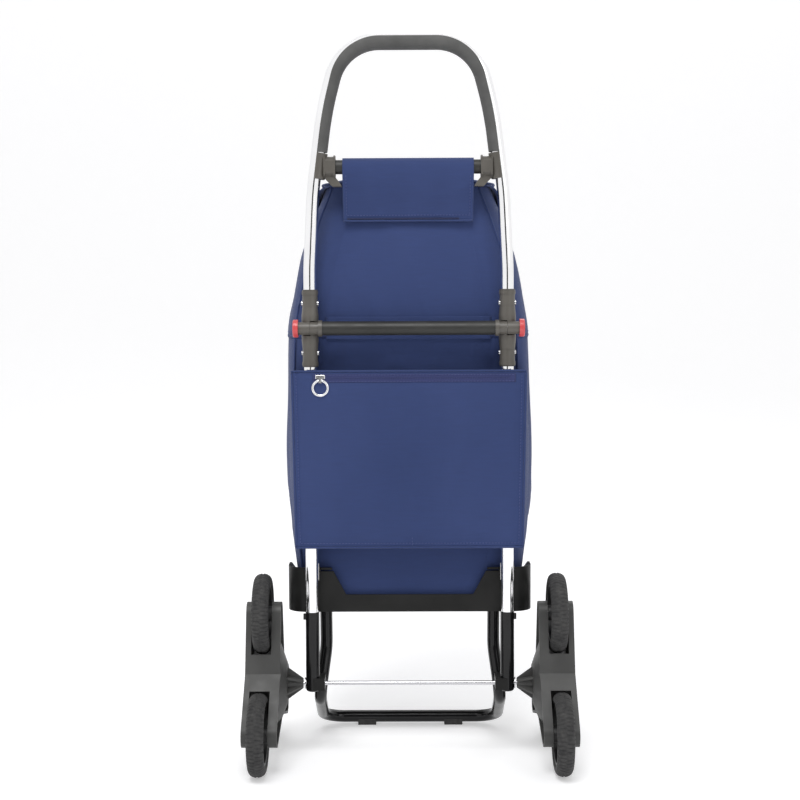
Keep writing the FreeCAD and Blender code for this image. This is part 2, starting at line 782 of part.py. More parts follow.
def spider():
    outer = lobed_plate(spider_outer_face - spider_plate, spider_outer_face)
    inner = lobed_plate(spider_inner_face, spider_inner_face + spider_plate)
    box_start = spider_inner_face + spider_plate
    box_end = spider_outer_face - spider_plate
    core = lobed_plate(box_start, box_end)
    well = wheel_radius + wheel_well_gap
    for y, z in wheel_centres():
        core = core.cut(rod_x(well, box_start - 0.01, box_end + 0.01, y, z))
    core = max(core.Solids, key=lambda solid: solid.Volume)
    dome = Part.makeCone(
        hub_cone_base_radius + 4,
        spider_dome_radius,
        spider_dome_height,
        Vector(spider_dome_face, 0, axle_height),
        Vector(1, 0, 0),
    )
    dome = dome.common(lobed_plate(spider_dome_face, spider_inner_face))
    hub = Part.makeCone(
        hub_cone_tip_radius,
        hub_cone_tip_radius + 3,
        hub_cone_length,
        Vector(hub_cone_tip, 0, axle_height),
        Vector(1, 0, 0),
    )
    rim_face = spider_inner_face - spider_rim_height
    rim_inside = lobed_plate(rim_face - 1, spider_inner_face + 1, spider_rim)
    raised_rim = lobed_plate(rim_face, spider_inner_face).cut(rim_inside)
    ribs = []
    for step in range(hub_rib_count):
        half = hub_rib_thickness / 2
        rib = Part.makePolygon(
            [
                Vector(hub_cone_tip, -half, axle_height),
                Vector(hub_cone_tip, -half, axle_height + hub_cone_tip_radius),
                Vector(spider_dome_face, -half, axle_height + hub_cone_base_radius),
                Vector(spider_dome_face, -half, axle_height),
                Vector(hub_cone_tip, -half, axle_height),
            ]
        )
        rib = Part.Face(rib).extrude(Vector(0, hub_rib_thickness, 0))
        rib.rotate(Vector(0, 0, axle_height), Vector(1, 0, 0), step * 360.0 / hub_rib_count)
        ribs.append(rib)
    whole = join([outer, inner, core, dome, hub, raised_rim] + ribs)
    bore = rod_x(axle_radius + running_gap, hub_cone_tip - 1, spider_outer_face + 1, 0, axle_height)
    whole = whole.cut(bore)
    recess_start = spider_outer_face - cap_depth
    recess = rod_x(cap_radius + face_gap, recess_start, spider_outer_face + 1, 0, axle_height)
    whole = whole.cut(recess)
    for y, z in wheel_centres():
        whole = whole.cut(rod_x(pin_radius, spider_inner_face - 1, spider_outer_face + 1, y, z))
    return whole


def wheel_pins():
    start = spider_inner_face - 0.6
    end = spider_outer_face - 0.4
    return Part.makeCompound([rod_x(pin_radius, start, end, y, z) for y, z in wheel_centres()])


def rim(y, z):
    half = rim_width / 2
    ring = rod_x(tyre_inner_radius, wheel_middle - half, wheel_middle + half, y, z)
    inner = tyre_inner_radius - rim_thickness
    ring = ring.cut(rod_x(inner, wheel_middle - half - 1, wheel_middle + half + 1, y, z))
    hub_half = spider_slot / 2 - wheel_side_gap
    hub = rod_x(wheel_hub_radius, wheel_middle - hub_half, wheel_middle + hub_half, y, z)
    pieces = [ring, hub]
    for step in range(spoke_count):
        spoke = box(
            wheel_middle - spoke_thickness / 2,
            wheel_middle + spoke_thickness / 2,
            y - spoke_width / 2,
            y + spoke_width / 2,
            z + wheel_hub_radius - 3,
            z + inner + rim_thickness / 2,
        )
        spoke.rotate(Vector(0, y, z), Vector(1, 0, 0), step * 360.0 / spoke_count)
        pieces.append(spoke)
    bore = rod_x(pin_radius + running_gap, wheel_middle - hub_half - 1, wheel_middle + hub_half + 1, y, z)
    return join(pieces).cut(bore)


def tyre(y, z):
    """A tyre with a round tread: its section is turned about the wheel's axis."""
    half = tyre_width / 2
    shoulder = wheel_radius - half * 0.8
    foot_left = Vector(-half * 0.9, 0, tyre_inner_radius)
    foot_right = Vector(half * 0.9, 0, tyre_inner_radius)
    left = Vector(-half, 0, shoulder)
    right = Vector(half, 0, shoulder)
    section = Part.Wire(
        [
            Part.LineSegment(foot_left, foot_right).toShape(),
            Part.LineSegment(foot_right, right).toShape(),
            Part.Arc(right, Vector(0, 0, wheel_radius), left).toShape(),
            Part.LineSegment(left, foot_left).toShape(),
        ]
    )
    ring = Part.Face(section).revolve(Vector(0, 0, 0), Vector(1, 0, 0), 360)
    ring = Part.makeSolid(ring) if not ring.Solids else ring.Solids[0]
    ring.translate(Vector(wheel_middle, y, z))
    return ring


# ---------------------------------------------------------------- bag
def bag_lower_sections():
    foot_front = tray_front - tray_wall - bag_foot_gap
    foot = tray_floor + tray_wall + soft_gap
    lean_half = bag_foot_half + bag_foot_lean
    flank_half = bag_belly_half - bag_foot_lean
    flank_height = (tray_head + bag_belly_height) / 2
    split_front = bag_front - bag_split_setback
    return [
        (bag_foot_half, bag_foot_back, foot_front, bag_corner, foot),
        (lean_half, bag_foot_back, foot_front + 1, bag_corner, tray_head + bag_foot_rise),
        (flank_half, bag_back, bag_front, bag_corner, flank_height),
        (bag_belly_half, bag_back, bag_front, bag_corner, bag_belly_height),
        (bag_split_half, bag_back, split_front, bag_corner, split_height - soft_gap / 2),
    ]


def bag_lower():
    return shell(bag_lower_sections(), True)


def bag_upper():
    slant_half = bag_top_half + bag_top_slant
    slant_height = bag_top_height - bag_top_slant_drop
    split_front = bag_front - bag_split_setback
    shoulder_front = bag_front - bag_shoulder_setback
    return shell(
        [
            (bag_split_half, bag_back, split_front, bag_corner, split_height + soft_gap / 2),
            (bag_shoulder_half, bag_back, shoulder_front, bag_corner, bag_shoulder_height),
            (slant_half, bag_top_back, bag_top_front + 4, bag_corner, slant_height),
            (bag_top_half, bag_top_back, bag_top_front, bag_corner, bag_top_height),
        ],
        False,
    )


def bag_lid():
    foot = bag_top_height + soft_gap
    outline = (bag_top_half, bag_top_back, bag_top_front)
    return loft(
        [
            outline + (bag_corner, foot),
            (bag_top_half - 2, bag_top_back + 2, bag_top_front - 2, bag_corner - 2, foot + lid_thickness),
        ]
    )


def bag_base_board():
    back = bag_foot_back + cloth + board_margin
    front = tray_front - tray_wall - bag_foot_gap - cloth - board_margin
    foot = tray_floor + tray_wall + cloth + 2 * soft_gap
    outline = (bag_foot_half - cloth - board_margin, back, front, bag_corner - cloth)
    return loft([outline + (foot,), outline + (foot + board_thickness,)])


def bag_flap():
    """Cloth that hangs over the bag bar: a front panel, a half turn over the bar and a short back."""
    inner = bag_bar_radius + soft_gap
    outer = inner + flap_thickness
    turn = rod_x(outer, -flap_half_width, flap_half_width, 0, bag_bar_height)
    turn = turn.cut(rod_x(inner, -flap_half_width - 1, flap_half_width + 1, 0, bag_bar_height))
    above = box(-flap_half_width, flap_half_width, -outer, outer, bag_bar_height, bag_bar_height + outer)
    turn = turn.common(above)
    front = box(-flap_half_width, flap_half_width, -outer, -inner, flap_foot, bag_bar_height)
    back = box(-flap_half_width, flap_half_width, inner, outer, flap_back_foot, bag_bar_height)
    return join([turn, front, back])


def back_pocket():
    panel = box(-pocket_half_width, pocket_half_width, pocket_front, pocket_back, pocket_foot, pocket_head)
    pieces = [panel]
    for side in (-1, 1):
        x0, x1 = sorted((side * pocket_half_width, side * (pocket_half_width - pocket_return)))
        pieces.append(box(x0, x1, pocket_back, bag_back + bag_corner / 2, pocket_foot, pocket_head))
    room = [
        (half + soft_gap, back - soft_gap, front, corner + soft_gap, z)
        for half, back, front, corner, z in bag_lower_sections()
    ]
    return join(pieces).cut(loft(room))


def zip_tape():
    return box(
        zip_start,
        zip_end,
        pocket_front - zip_thickness,
        pocket_front,
        zip_height - zip_band / 2,
        zip_height + zip_band / 2,
    )


def ring_centre():
    y = pocket_front - zip_thickness - face_gap - slider_thickness / 2 - 1.0
    return Vector(slider_x, y, zip_height - ring_drop - ring_radius)


def zip_slider():
    back = pocket_front - zip_thickness - face_gap
    front = back - slider_thickness
    body = box(
        slider_x - slider_length / 2,
        slider_x + slider_length / 2,
        front,
        back,
        zip_height - slider_height / 2,
        zip_height + slider_height / 2,
    )
    body = body.makeFillet(slider_rounding, body.Edges)
    eye = ring_centre() + Vector(0, 0, ring_radius)
    reach = ring_hole + 1.3
    x0 = slider_x - lug_width / 2
    x1 = slider_x + lug_width / 2
    lug = box(x0, x1, eye.y - reach, back - 0.5, eye.z - reach, eye.z + reach)
    half = ring_wire + ring_clear
    room = box(x0 - slider_length, x0, eye.y - reach, eye.y + half, eye.z - 9, eye.z + half)
    other = box(x1, x1 + slider_length, eye.y - reach, eye.y + half, eye.z - 9, eye.z + half)
    body = join([body, lug]).cut(room).cut(other)
    return body.cut(rod_x(ring_hole, x0 - slider_length, x1 + slider_length, eye.y, eye.z))


def pull_ring():
    return Part.makeTorus(ring_radius, ring_wire, ring_centre(), Vector(0, 1, 0))


# ---------------------------------------------------------------- writing the nodes
def write(node, shape):
    placed = shape.copy()
    placed.translate(Vector(0, -middle_y, 0))
    placed.exportStep("parts/" + node + ".step")
    print(f"{node:24s} solids {len(placed.Solids)} valid {placed.isValid()} volume {placed.Volume / 1000:9.2f} cm3")


def write_pair(node, right):
    """The right-hand piece and its mirror image, each in its own node."""
    write(node + "_right", right)
    write(node + "_left", mirrored(right))


def write_both(node, right):
    """Two like fasteners or pads in one node."""
    write(node, Part.makeCompound([right, mirrored(right)]))


def write_all():
    tube = handle_tube()
    solid_handle = sweep_circle(handle_path(), tube_radius)
    solid_stand = sweep_circle(stand_path(), stand_radius)
    write("handle_tube", tube)
    write("handle_grip", handle_grip(solid_handle))
    write_pair("bar_clip", bar_clip(solid_handle))
    write("bag_bar", bag_bar())
    write_pair("upper_joint", joint_half(1))
    write_pair("lower_joint", joint_half(-1))
    write_both("joint_pins", joint_pin())
    write_pair("release_button", release_button())
    write_pair("button_spring", button_spring())
    write_both("upper_rivets", joint_rivet(1))
    write_both("lower_rivets", joint_rivet(-1))
    write("joint_crossbar", joint_crossbar())
    write_both("crossbar_collars", crossbar_collar())
    write_pair("lower_tube", lower_tube())
    write_pair("leg_sleeve", leg_sleeve())
    write("axle", axle())
    write_both("axle_washers", axle_washer())
    write_both("axle_caps", axle_cap())
    write("stand_tube", stand_tube())
    write_both("foot_pads", foot_pad(solid_stand))
    write_both("stand_brackets", stand_bracket(solid_stand))
    write_both("tray_brackets", tray_bracket())
    write("tray", tray())
    write_both("tray_pins", tray_pin())
    write_pair("spider", spider())
    write_pair("wheel_pins", wheel_pins())
    for number, (y, z) in enumerate(wheel_centres(), start=1):
        write_pair("rim_" + str(number), rim(y, z))
        write_pair("tyre_" + str(number), tyre(y, z))
    write("bag_lower", bag_lower())
    write("bag_upper", bag_upper())
    write("bag_lid", bag_lid())
    write("bag_base_board", bag_base_board())
    write("bag_flap", bag_flap())
    write("back_pocket", back_pocket())
    write("zip_tape", zip_tape())
    write("zip_slider", zip_slider())
    write("pull_ring", pull_ring())


write_all()
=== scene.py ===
import math

import bpy
from mathutils import Euler, Matrix, Vector, noise


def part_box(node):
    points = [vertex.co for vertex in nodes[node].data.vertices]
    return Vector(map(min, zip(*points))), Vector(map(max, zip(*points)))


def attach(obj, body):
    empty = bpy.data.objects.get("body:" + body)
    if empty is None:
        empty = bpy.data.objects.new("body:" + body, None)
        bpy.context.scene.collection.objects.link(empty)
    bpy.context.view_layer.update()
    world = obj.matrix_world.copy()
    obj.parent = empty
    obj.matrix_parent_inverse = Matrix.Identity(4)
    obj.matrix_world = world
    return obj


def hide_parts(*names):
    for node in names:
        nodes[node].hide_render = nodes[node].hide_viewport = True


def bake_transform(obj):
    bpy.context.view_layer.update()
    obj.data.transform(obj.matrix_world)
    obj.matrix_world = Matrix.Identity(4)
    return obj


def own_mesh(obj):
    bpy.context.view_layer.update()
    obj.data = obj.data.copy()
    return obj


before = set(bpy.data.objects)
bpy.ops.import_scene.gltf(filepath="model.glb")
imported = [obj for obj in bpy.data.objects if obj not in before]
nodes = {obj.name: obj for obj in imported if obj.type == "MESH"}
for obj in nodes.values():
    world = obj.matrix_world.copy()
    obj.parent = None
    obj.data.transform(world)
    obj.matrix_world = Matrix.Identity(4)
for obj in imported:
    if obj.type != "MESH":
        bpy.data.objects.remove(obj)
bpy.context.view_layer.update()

scene = bpy.context.scene


# ---------------------------------------------------------------- places taken from the frame
lower_lo, lower_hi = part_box("bag_lower")
upper_lo, upper_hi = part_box("bag_upper")
lid_lo, lid_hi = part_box("bag_lid")
flap_lo, flap_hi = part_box("bag_flap")
pocket_lo, pocket_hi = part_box("back_pocket")
zip_lo, zip_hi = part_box("zip_tape")
bar_lo, bar_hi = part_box("bag_bar")
tray_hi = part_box("tray")[1]
axle_lo, axle_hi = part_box("axle")
axle_y = (axle_lo.y + axle_hi.y) / 2
bag_back = upper_lo.y
split_z = (lower_hi.z + upper_lo.z) / 2

# ---------------------------------------------------------------- camera
camera_height = 0.647
camera_distance = 2.113       # from the axle's plane
camera_pitch = math.radians(3.6)
camera_yaw = math.radians(0.345)
camera_roll = math.radians(-0.25)
camera_lens = 67.2


def make_camera():
    data = bpy.data.cameras.new("camera")
    data.lens = camera_lens
    data.sensor_width = 36
    camera = bpy.data.objects.new("camera", data)
    turn = Euler((math.pi / 2 - camera_pitch, 0, camera_yaw)).to_matrix()
    roll = Matrix.Rotation(camera_roll, 3, "Z")
    place = Matrix.Translation((0, axle_y - camera_distance, camera_height))
    camera.matrix_world = place @ (turn @ roll).to_4x4()
    scene.collection.objects.link(camera)
    scene.camera = camera


make_camera()


# ---------------------------------------------------------------- light and floor
def area_light(name, place, target, size, power):
    data = bpy.data.lights.new(name, "AREA")
    data.shape = "RECTANGLE"
    data.size = size[0]
    data.size_y = size[1]
    data.energy = power
    light = bpy.data.objects.new(name, data)
    light.location = place
    light.rotation_euler = (Vector(target) - Vector(place)).to_track_quat("-Z", "Y").to_euler()
    scene.collection.objects.link(light)


def make_world():
    """A white studio: full white to the camera and in reflections, softer as light on the object."""
    world = bpy.data.worlds.new("studio")
    world.use_nodes = True
    tree = world.node_tree
    background = tree.nodes["Background"]
    background.inputs["Color"].default_value = (1.0, 1.0, 1.0, 1)
    path = tree.nodes.new("ShaderNodeLightPath")
    level = tree.nodes.new("ShaderNodeMapRange")
    level.inputs["To Min"].default_value = 1.0
    level.inputs["To Max"].default_value = 0.55
    tree.links.new(path.outputs["Is Diffuse Ray"], level.inputs["Value"])
    tree.links.new(level.outputs["Result"], background.inputs["Strength"])
    scene.world = world
    scene.view_settings.view_transform = "Standard"
    scene.view_settings.look = "None"


def plain_material(name, colour, rough):
    material = bpy.data.materials.new(name)
    material.use_nodes = True
    shader = material.node_tree.nodes["Principled BSDF"]
    shader.inputs["Base Color"].default_value = colour + (1,)
    shader.inputs["Roughness"].default_value = rough
    shader.inputs["Specular IOR Level"].default_value = 0.1
    return material


def make_floor():
    """White paper that lies flat under the trolley and curves up into a wall far behind it."""
    width = 12.0
    front, bend, radius, wall = -6.0, 3.0, 2.5, 6.0
    profile = [(front, 0.0), (bend, 0.0)]
    for step in range(1, 25):
        angle = math.pi / 2 * step / 24
        profile.append((bend + radius * math.sin(angle), radius * (1 - math.cos(angle))))
    profile.append((bend + radius, wall))
    points, faces = [], []
    for y, z in profile:
        points += [(-width, y, z), (width, y, z)]
    for row in range(len(profile) - 1):
        faces.append((2 * row, 2 * row + 1, 2 * row + 3, 2 * row + 2))
    mesh = bpy.data.meshes.new("floor")
    mesh.from_pydata(points, [], faces)
    mesh.shade_smooth()
    floor = bpy.data.objects.new("floor", mesh)
    scene.collection.objects.link(floor)
    paper = plain_material("floor_paper", (0.84, 0.84, 0.85), 0.9)
    shader = paper.node_tree.nodes["Principled BSDF"]
    shader.inputs["Emission Color"].default_value = (1, 1, 1, 1)
    shader.inputs["Emission Strength"].default_value = 0.36
    mesh.materials.append(paper)


def make_dark_card(name, place, width, height):
    """A dark screen that only reflections see, for the thin dark lines in the bright tubes."""
    mesh = bpy.data.meshes.new(name)
    w = width / 2
    mesh.from_pydata([(-w, 0, 0), (w, 0, 0), (w, 0, height), (-w, 0, height)], [], [(0, 1, 2, 3)])
    card = bpy.data.objects.new(name, mesh)
    card.location = place
    card.visible_camera = False
    card.visible_diffuse = False
    card.visible_shadow = False
    scene.collection.objects.link(card)
    mesh.materials.append(plain_material(name, (0.02, 0.02, 0.02), 0.9))


card_width, card_height = 1.15, 2.6
make_world()
make_floor()
area_light("key", (-0.4, -1.7, 3.0), (0, 0, 0.55), (1.5, 1.2), 52)
area_light("fill", (1.9, -2.3, 1.7), (0, 0, 0.5), (1.0, 1.6), 8)
area_light("back", (0.6, 2.6, 2.6), (0, 0, 0.6), (1.8, 1.2), 16)
make_dark_card("card_front", (0.0, -2.9, 0.0), card_width, card_height)
make_dark_card("card_back", (0.0, 3.0, 0.0), card_width, card_height)


# ---------------------------------------------------------------- material helpers
class Shader:
    """A material with a Principled shader, and short calls that wire the usual nodes to it."""

    def __init__(self, name, **sockets):
        self.material = bpy.data.materials.new(name)
        self.material.use_nodes = True
        self.tree = self.material.node_tree
        self.shader = self.tree.nodes["Principled BSDF"]
        self.coordinate = self.tree.nodes.new("ShaderNodeTexCoord")
        for socket, value in sockets.items():
            self.shader.inputs[socket.replace("_", " ")].default_value = value

    def node(self, kind, **settings):
        made = self.tree.nodes.new("ShaderNode" + kind)
        for key, value in settings.items():
            setattr(made, key, value)
        return made

    def link(self, output, socket):
        self.tree.links.new(output, socket)

    def stretched(self, scale, space="Object"):
        mapping = self.node("Mapping")
        mapping.inputs["Scale"].default_value = scale
        self.link(self.coordinate.outputs[space], mapping.inputs["Vector"])
        return mapping.outputs["Vector"]

    def noise(self, size, detail=3.0, rough=0.5, stretch=(1, 1, 1), space="Object"):
        """Noise whose features are about size metres across."""
        texture = self.node("TexNoise")
        texture.inputs["Scale"].default_value = 1.0
        texture.inputs["Detail"].default_value = detail
        texture.inputs["Roughness"].default_value = rough
        scale = tuple(part / size for part in stretch)
        self.link(self.stretched(scale, space), texture.inputs["Vector"])
        return texture.outputs["Fac"]

    def range(self, value, low, high, start=0.3, end=0.7):
        mapped = self.node("MapRange")
        mapped.inputs["From Min"].default_value = start
        mapped.inputs["From Max"].default_value = end
        mapped.inputs["To Min"].default_value = low
        mapped.inputs["To Max"].default_value = high
        self.link(value, mapped.inputs["Value"])
        return mapped.outputs["Result"]

    def math(self, operation, first, second):
        made = self.node("Math", operation=operation)
        for socket, value in zip(made.inputs, (first, second)):
            if isinstance(value, (int, float)):
                socket.default_value = value
            else:
                self.link(value, socket)
        return made.outputs[0]

    def colours(self, factor, first, second):
        mix = self.node("Mix", data_type="RGBA")
        mix.inputs["A"].default_value = first + (1,)
        mix.inputs["B"].default_value = second + (1,)
        self.link(factor, mix.inputs["Factor"])
        self.link(mix.outputs["Result"], self.shader.inputs["Base Color"])
        return mix

    def roughness(self, value):
        self.link(value, self.shader.inputs["Roughness"])

    def bump(self, height, distance, strength=1.0, below=None):
        made = self.node("Bump")
        made.inputs["Strength"].default_value = strength
        made.inputs["Distance"].default_value = distance
        self.link(height, made.inputs["Height"])
        if below is not None:
            self.link(below, made.inputs["Normal"])
        self.link(made.outputs["Normal"], self.shader.inputs["Normal"])
        return made.outputs["Normal"]


def cloth_material(name, dark, light, yarn=0.0009, depth=0.00022):
    """Plain-weave polyester: crossed yarns in the piece's own cloth coordinates, with soft mottling."""
    made = Shader(name, Roughness=0.8, Sheen_Weight=0.12, Sheen_Roughness=0.5, Specular_IOR_Level=0.25)
    uv = made.coordinate.outputs["UV"]
    split = made.node("SeparateXYZ")
    made.link(uv, split.inputs[0])
    turn = math.pi / yarn
    across = made.math("SINE", made.math("MULTIPLY", split.outputs["X"], turn), 0.0)
    along = made.math("SINE", made.math("MULTIPLY", split.outputs["Y"], turn), 0.0)
    weave = made.math("MULTIPLY", across, along)
    yarns = made.math("ABSOLUTE", weave, 0.0)
    slub = made.noise(0.0035, 3, 0.6, (0.12, 1.0, 1.0), "UV")
    mottle = made.noise(0.16, 3, 0.5, (1.0, 1.0, 0.5))
    tone = made.math("ADD", made.math("MULTIPLY", mottle, 0.6), made.math("MULTIPLY", slub, 0.4))
    shade = made.math("ADD", made.range(tone, 0.0, 0.8, 0.3, 0.7), made.math("MULTIPLY", yarns, 0.25))
    made.colours(shade, dark, light)
    made.roughness(made.range(slub, 0.72, 0.88))
    creases = made.bump(made.noise(0.03, 4, 0.55, (1.0, 1.0, 0.5)), 0.0007, 0.4)
    made.bump(yarns, depth, 0.7, creases)
    return made.material


def plastic_material(name, dark, light, rough=(0.42, 0.6), grain=0.0007, depth=0.00005, **sockets):
    """Moulded plastic with a fine grain, faint flow marks and a slightly uneven shine."""
    made = Shader(name, **sockets)
    made.colours(made.range(made.noise(0.05, 3, 0.5), 0.0, 1.0, 0.3, 0.7), dark, light)
    made.roughness(made.range(made.noise(0.02, 4, 0.6), rough[0], rough[1]))
    made.bump(made.noise(grain, 2, 0.5), depth, 0.6)
    return made.material


def metal_material(name, colour, rough, drawn=(1, 1, 0.02), depth=0.000006):
    """Drawn or plated metal: streaks along the work, faint smears in the shine."""
    made = Shader(name, Metallic=1.0)
    streak = made.noise(0.0006, 2, 0.5, drawn)
    smear = made.noise(0.04, 4, 0.6)
    darker = tuple(part * 0.94 for part in colour)
    made.colours(made.range(smear, 0.0, 1.0), darker, colour)
    shine = made.range(smear, rough[0], rough[1])
    made.roughness(made.math("ADD", shine, made.math("MULTIPLY", streak, 0.04)))
    made.bump(streak, depth, 0.3)
    return made.material


def gloss_material(name, colour):
    """Black stove enamel: a gloss coat over a very slightly uneven body."""
    made = Shader(name, Coat_Weight=0.2, Coat_Roughness=0.05, Specular_IOR_Level=0.22)
    lighter = tuple(part * 1.6 + 0.002 for part in colour)
    made.colours(made.range(made.noise(0.05, 3, 0.5), 0.0, 1.0), colour, lighter)
    made.roughness(made.range(made.noise(0.03, 3, 0.5), 0.16, 0.26))
    made.bump(made.noise(0.006, 2, 0.5), 0.00001, 0.3)
    return made.material


def foam_material(name):
    """Grained soft grip."""
    made = Shader(name, Specular_IOR_Level=0.35, Sheen_Weight=0.1, Sheen_Roughness=0.5)
    made.colours(made.range(made.noise(0.03, 3, 0.5), 0.0, 1.0), (0.066, 0.066, 0.0645), (0.092, 0.092, 0.09))
    made.roughness(made.range(made.noise(0.006, 4, 0.6), 0.6, 0.82))
    cells = made.node("TexVoronoi")
    made.link(made.stretched((900, 900, 900)), cells.inputs["Vector"])
    cells.inputs["Scale"].default_value = 1.0
    made.bump(cells.outputs["Distance"], 0.00012, 0.6)
    return made.material


def rubber_material(name):
    """Dusty black tyre rubber."""
    made = Shader(name, Specular_IOR_Level=0.35)
    dust = made.range(made.noise(0.009, 5, 0.65), 0.0, 1.0)
    made.colours(dust, (0.022, 0.022, 0.023), (0.055, 0.054, 0.053))
    made.roughness(made.range(made.noise(0.004, 4, 0.6), 0.6, 0.85))
    made.bump(made.noise(0.0012, 3, 0.6), 0.00012, 0.6)
    return made.material


navy = cloth_material("bag_cloth_navy", (0.020, 0.037, 0.118), (0.038, 0.060, 0.172))
# Darker navy: the pocket lining's cloth, and also the painted shadow line under the flap's hem.
navy_dark = cloth_material("bag_cloth_lining_and_painted_shadow", (0.015, 0.02, 0.06), (0.024, 0.032, 0.09))
webbing = cloth_material("zip_tape_weave", (0.026, 0.034, 0.11), (0.04, 0.05, 0.15), 0.0012, 0.0003)
thread = plastic_material("thread", (0.05, 0.065, 0.19), (0.08, 0.1, 0.27), (0.5, 0.7), 0.0004)
tube_bright = metal_material("tube_bright", (0.93, 0.93, 0.94), (0.05, 0.12))
zinc = metal_material("zinc_steel", (0.62, 0.62, 0.64), (0.2, 0.34), (0.02, 1, 1))
chrome = metal_material("chrome", (0.86, 0.86, 0.87), (0.14, 0.26), (1, 1, 1))
enamel = gloss_material("black_enamel", (0.004, 0.004, 0.0045))
grip = foam_material("grip_foam")
joint_grey = plastic_material("joint_grey", (0.072, 0.066, 0.057), (0.104, 0.096, 0.084), (0.34, 0.5))
tray_black = plastic_material(
    "tray_black", (0.008, 0.008, 0.0078), (0.014, 0.014, 0.0135), (0.34, 0.5), Specular_IOR_Level=0.2
)
spider_grey = plastic_material("spider_grey", (0.036, 0.036, 0.035), (0.055, 0.055, 0.053), (0.4, 0.58))
rim_black = plastic_material("rim_black", (0.022, 0.022, 0.023), (0.036, 0.036, 0.036), (0.35, 0.5))
red = plastic_material("button_red", (0.50, 0.045, 0.05), (0.62, 0.07, 0.075), (0.3, 0.45), Coat_Weight=0.2)
tyre_rubber = rubber_material("tyre_rubber")
satin_black = plastic_material(
    "satin_black", (0.018, 0.018, 0.0165), (0.028, 0.028, 0.026), (0.4, 0.52), Specular_IOR_Level=0.4
)
board_black = plastic_material("board_black", (0.03, 0.03, 0.03), (0.05, 0.05, 0.05), (0.5, 0.7))

node_looks = {
    tube_bright: ["handle_tube", "lower_tube_left", "lower_tube_right"],
    enamel: ["leg_sleeve_left", "leg_sleeve_right", "stand_tube"],
    satin_black: ["bag_bar", "joint_crossbar"],
    grip: ["handle_grip"],
    joint_grey: [
        "bar_clip_left",
        "bar_clip_right",
        "upper_joint_left",
        "upper_joint_right",
        "lower_joint_left",
        "lower_joint_right",
        "crossbar_collars",
    ],
    red: ["release_button_left", "release_button_right"],
    zinc: [
        "axle",
        "axle_washers",
        "joint_pins",
        "upper_rivets",
        "lower_rivets",
        "button_spring_left",
        "button_spring_right",
        "tray_pins",
        "tray_brackets",
        "wheel_pins_left",
        "wheel_pins_right",
    ],
    chrome: ["zip_slider", "pull_ring"],
    tray_black: ["tray", "stand_brackets", "axle_caps"],
    spider_grey: ["spider_left", "spider_right"],
    rim_black: ["rim_1_left", "rim_2_left", "rim_3_left", "rim_1_right", "rim_2_right", "rim_3_right"],
    tyre_rubber: ["foot_pads"],
    board_black: ["bag_base_board"],
}
for look, names in node_looks.items():
    for name in names:
        nodes[name].data.materials.clear()
        nodes[name].data.materials.append(look)


# ---------------------------------------------------------------- mesh helpers
def make_piece(name, points, faces, look, coordinates=None, smooth=True):
    """A mesh object. coordinates holds a (u, v) in metres for each point."""
    mesh = bpy.data.meshes.new(name)
    mesh.from_pydata([tuple(p) for p in points], [], faces)
    if coordinates is not None:
        layer = mesh.uv_layers.new(name="cloth")
        for polygon in mesh.polygons:
            for corner, vertex in zip(polygon.loop_indices, polygon.vertices):
                layer.data[corner].uv = coordinates[vertex]
    mesh.materials.append(look)
    mesh.polygons.foreach_set("use_smooth", [smooth] * len(mesh.polygons))
    mesh.update()
    piece = bpy.data.objects.new(name, mesh)
    scene.collection.objects.link(piece)
    return piece


def applied(piece):
    """Bakes the piece's modifiers into its mesh."""
    bpy.context.view_layer.update()
    graph = bpy.context.evaluated_depsgraph_get()
    mesh = bpy.data.meshes.new_from_object(piece.evaluated_get(graph))
    piece.modifiers.clear()
    old = piece.data
    piece.data = mesh
    bpy.data.meshes.remove(old)
    return piece


def thicken(piece, thickness, offset=-1.0):
    solid = piece.modifiers.new("solid", "SOLIDIFY")
    solid.thickness = thickness
    solid.offset = offset
    return applied(piece)


def grid_faces(rows, columns, closed=False):
    """Quads of a grid of points stored row by row."""
    faces = []
    last = columns if closed else columns - 1
    for row in range(rows - 1):
        for column in range(last):
            after = (column + 1) % columns
            a = row * columns + column
            b = row * columns + after
            faces.append((a, b, b + columns, a + columns))
    return faces


def fuzz(x, y, z, size, seed=0.0):
    """Smooth noise in -1..1 with features about size metres across."""
    return noise.noise(Vector((x / size + seed, y / size - seed, z / size + 2 * seed)))


def ridge(x, y, z, size, seed=0.0):
    """Sharp creases: 1 on a fold line, falling away on both sides."""
    return (1.0 - min(1.0, abs(fuzz(x, y, z, size, seed)) * 2.2)) ** 2


def ease(value):
    value = max(0.0, min(1.0, value))
    return value * value * (3 - 2 * value)


def through(table, at):
    """Values of a table of (height, values...) at one height, smoothly between its rows."""
    if at <= table[0][0]:
        return table[0][1:]
    for before, after in zip(table, table[1:]):
        if at <= after[0]:
            share = (at - before[0]) / (after[0] - before[0])
            index = table.index(before)
            first = table[max(index - 1, 0)]
            last = table[min(index + 2, len(table) - 1)]
            values = []
            for column in range(1, len(before)):
                p0, p1, p2, p3 = first[column], before[column], after[column], last[column]
                s2, s3 = share * share, share * share * share
                squares = (2 * p0 - 5 * p1 + 4 * p2 - p3) * s2
                cubes = (3 * p1 - p0 - 3 * p2 + p3) * s3
                values.append(0.5 * (2 * p1 + (p2 - p0) * share + squares + cubes))
            return tuple(values)
    return table[-1][1:]


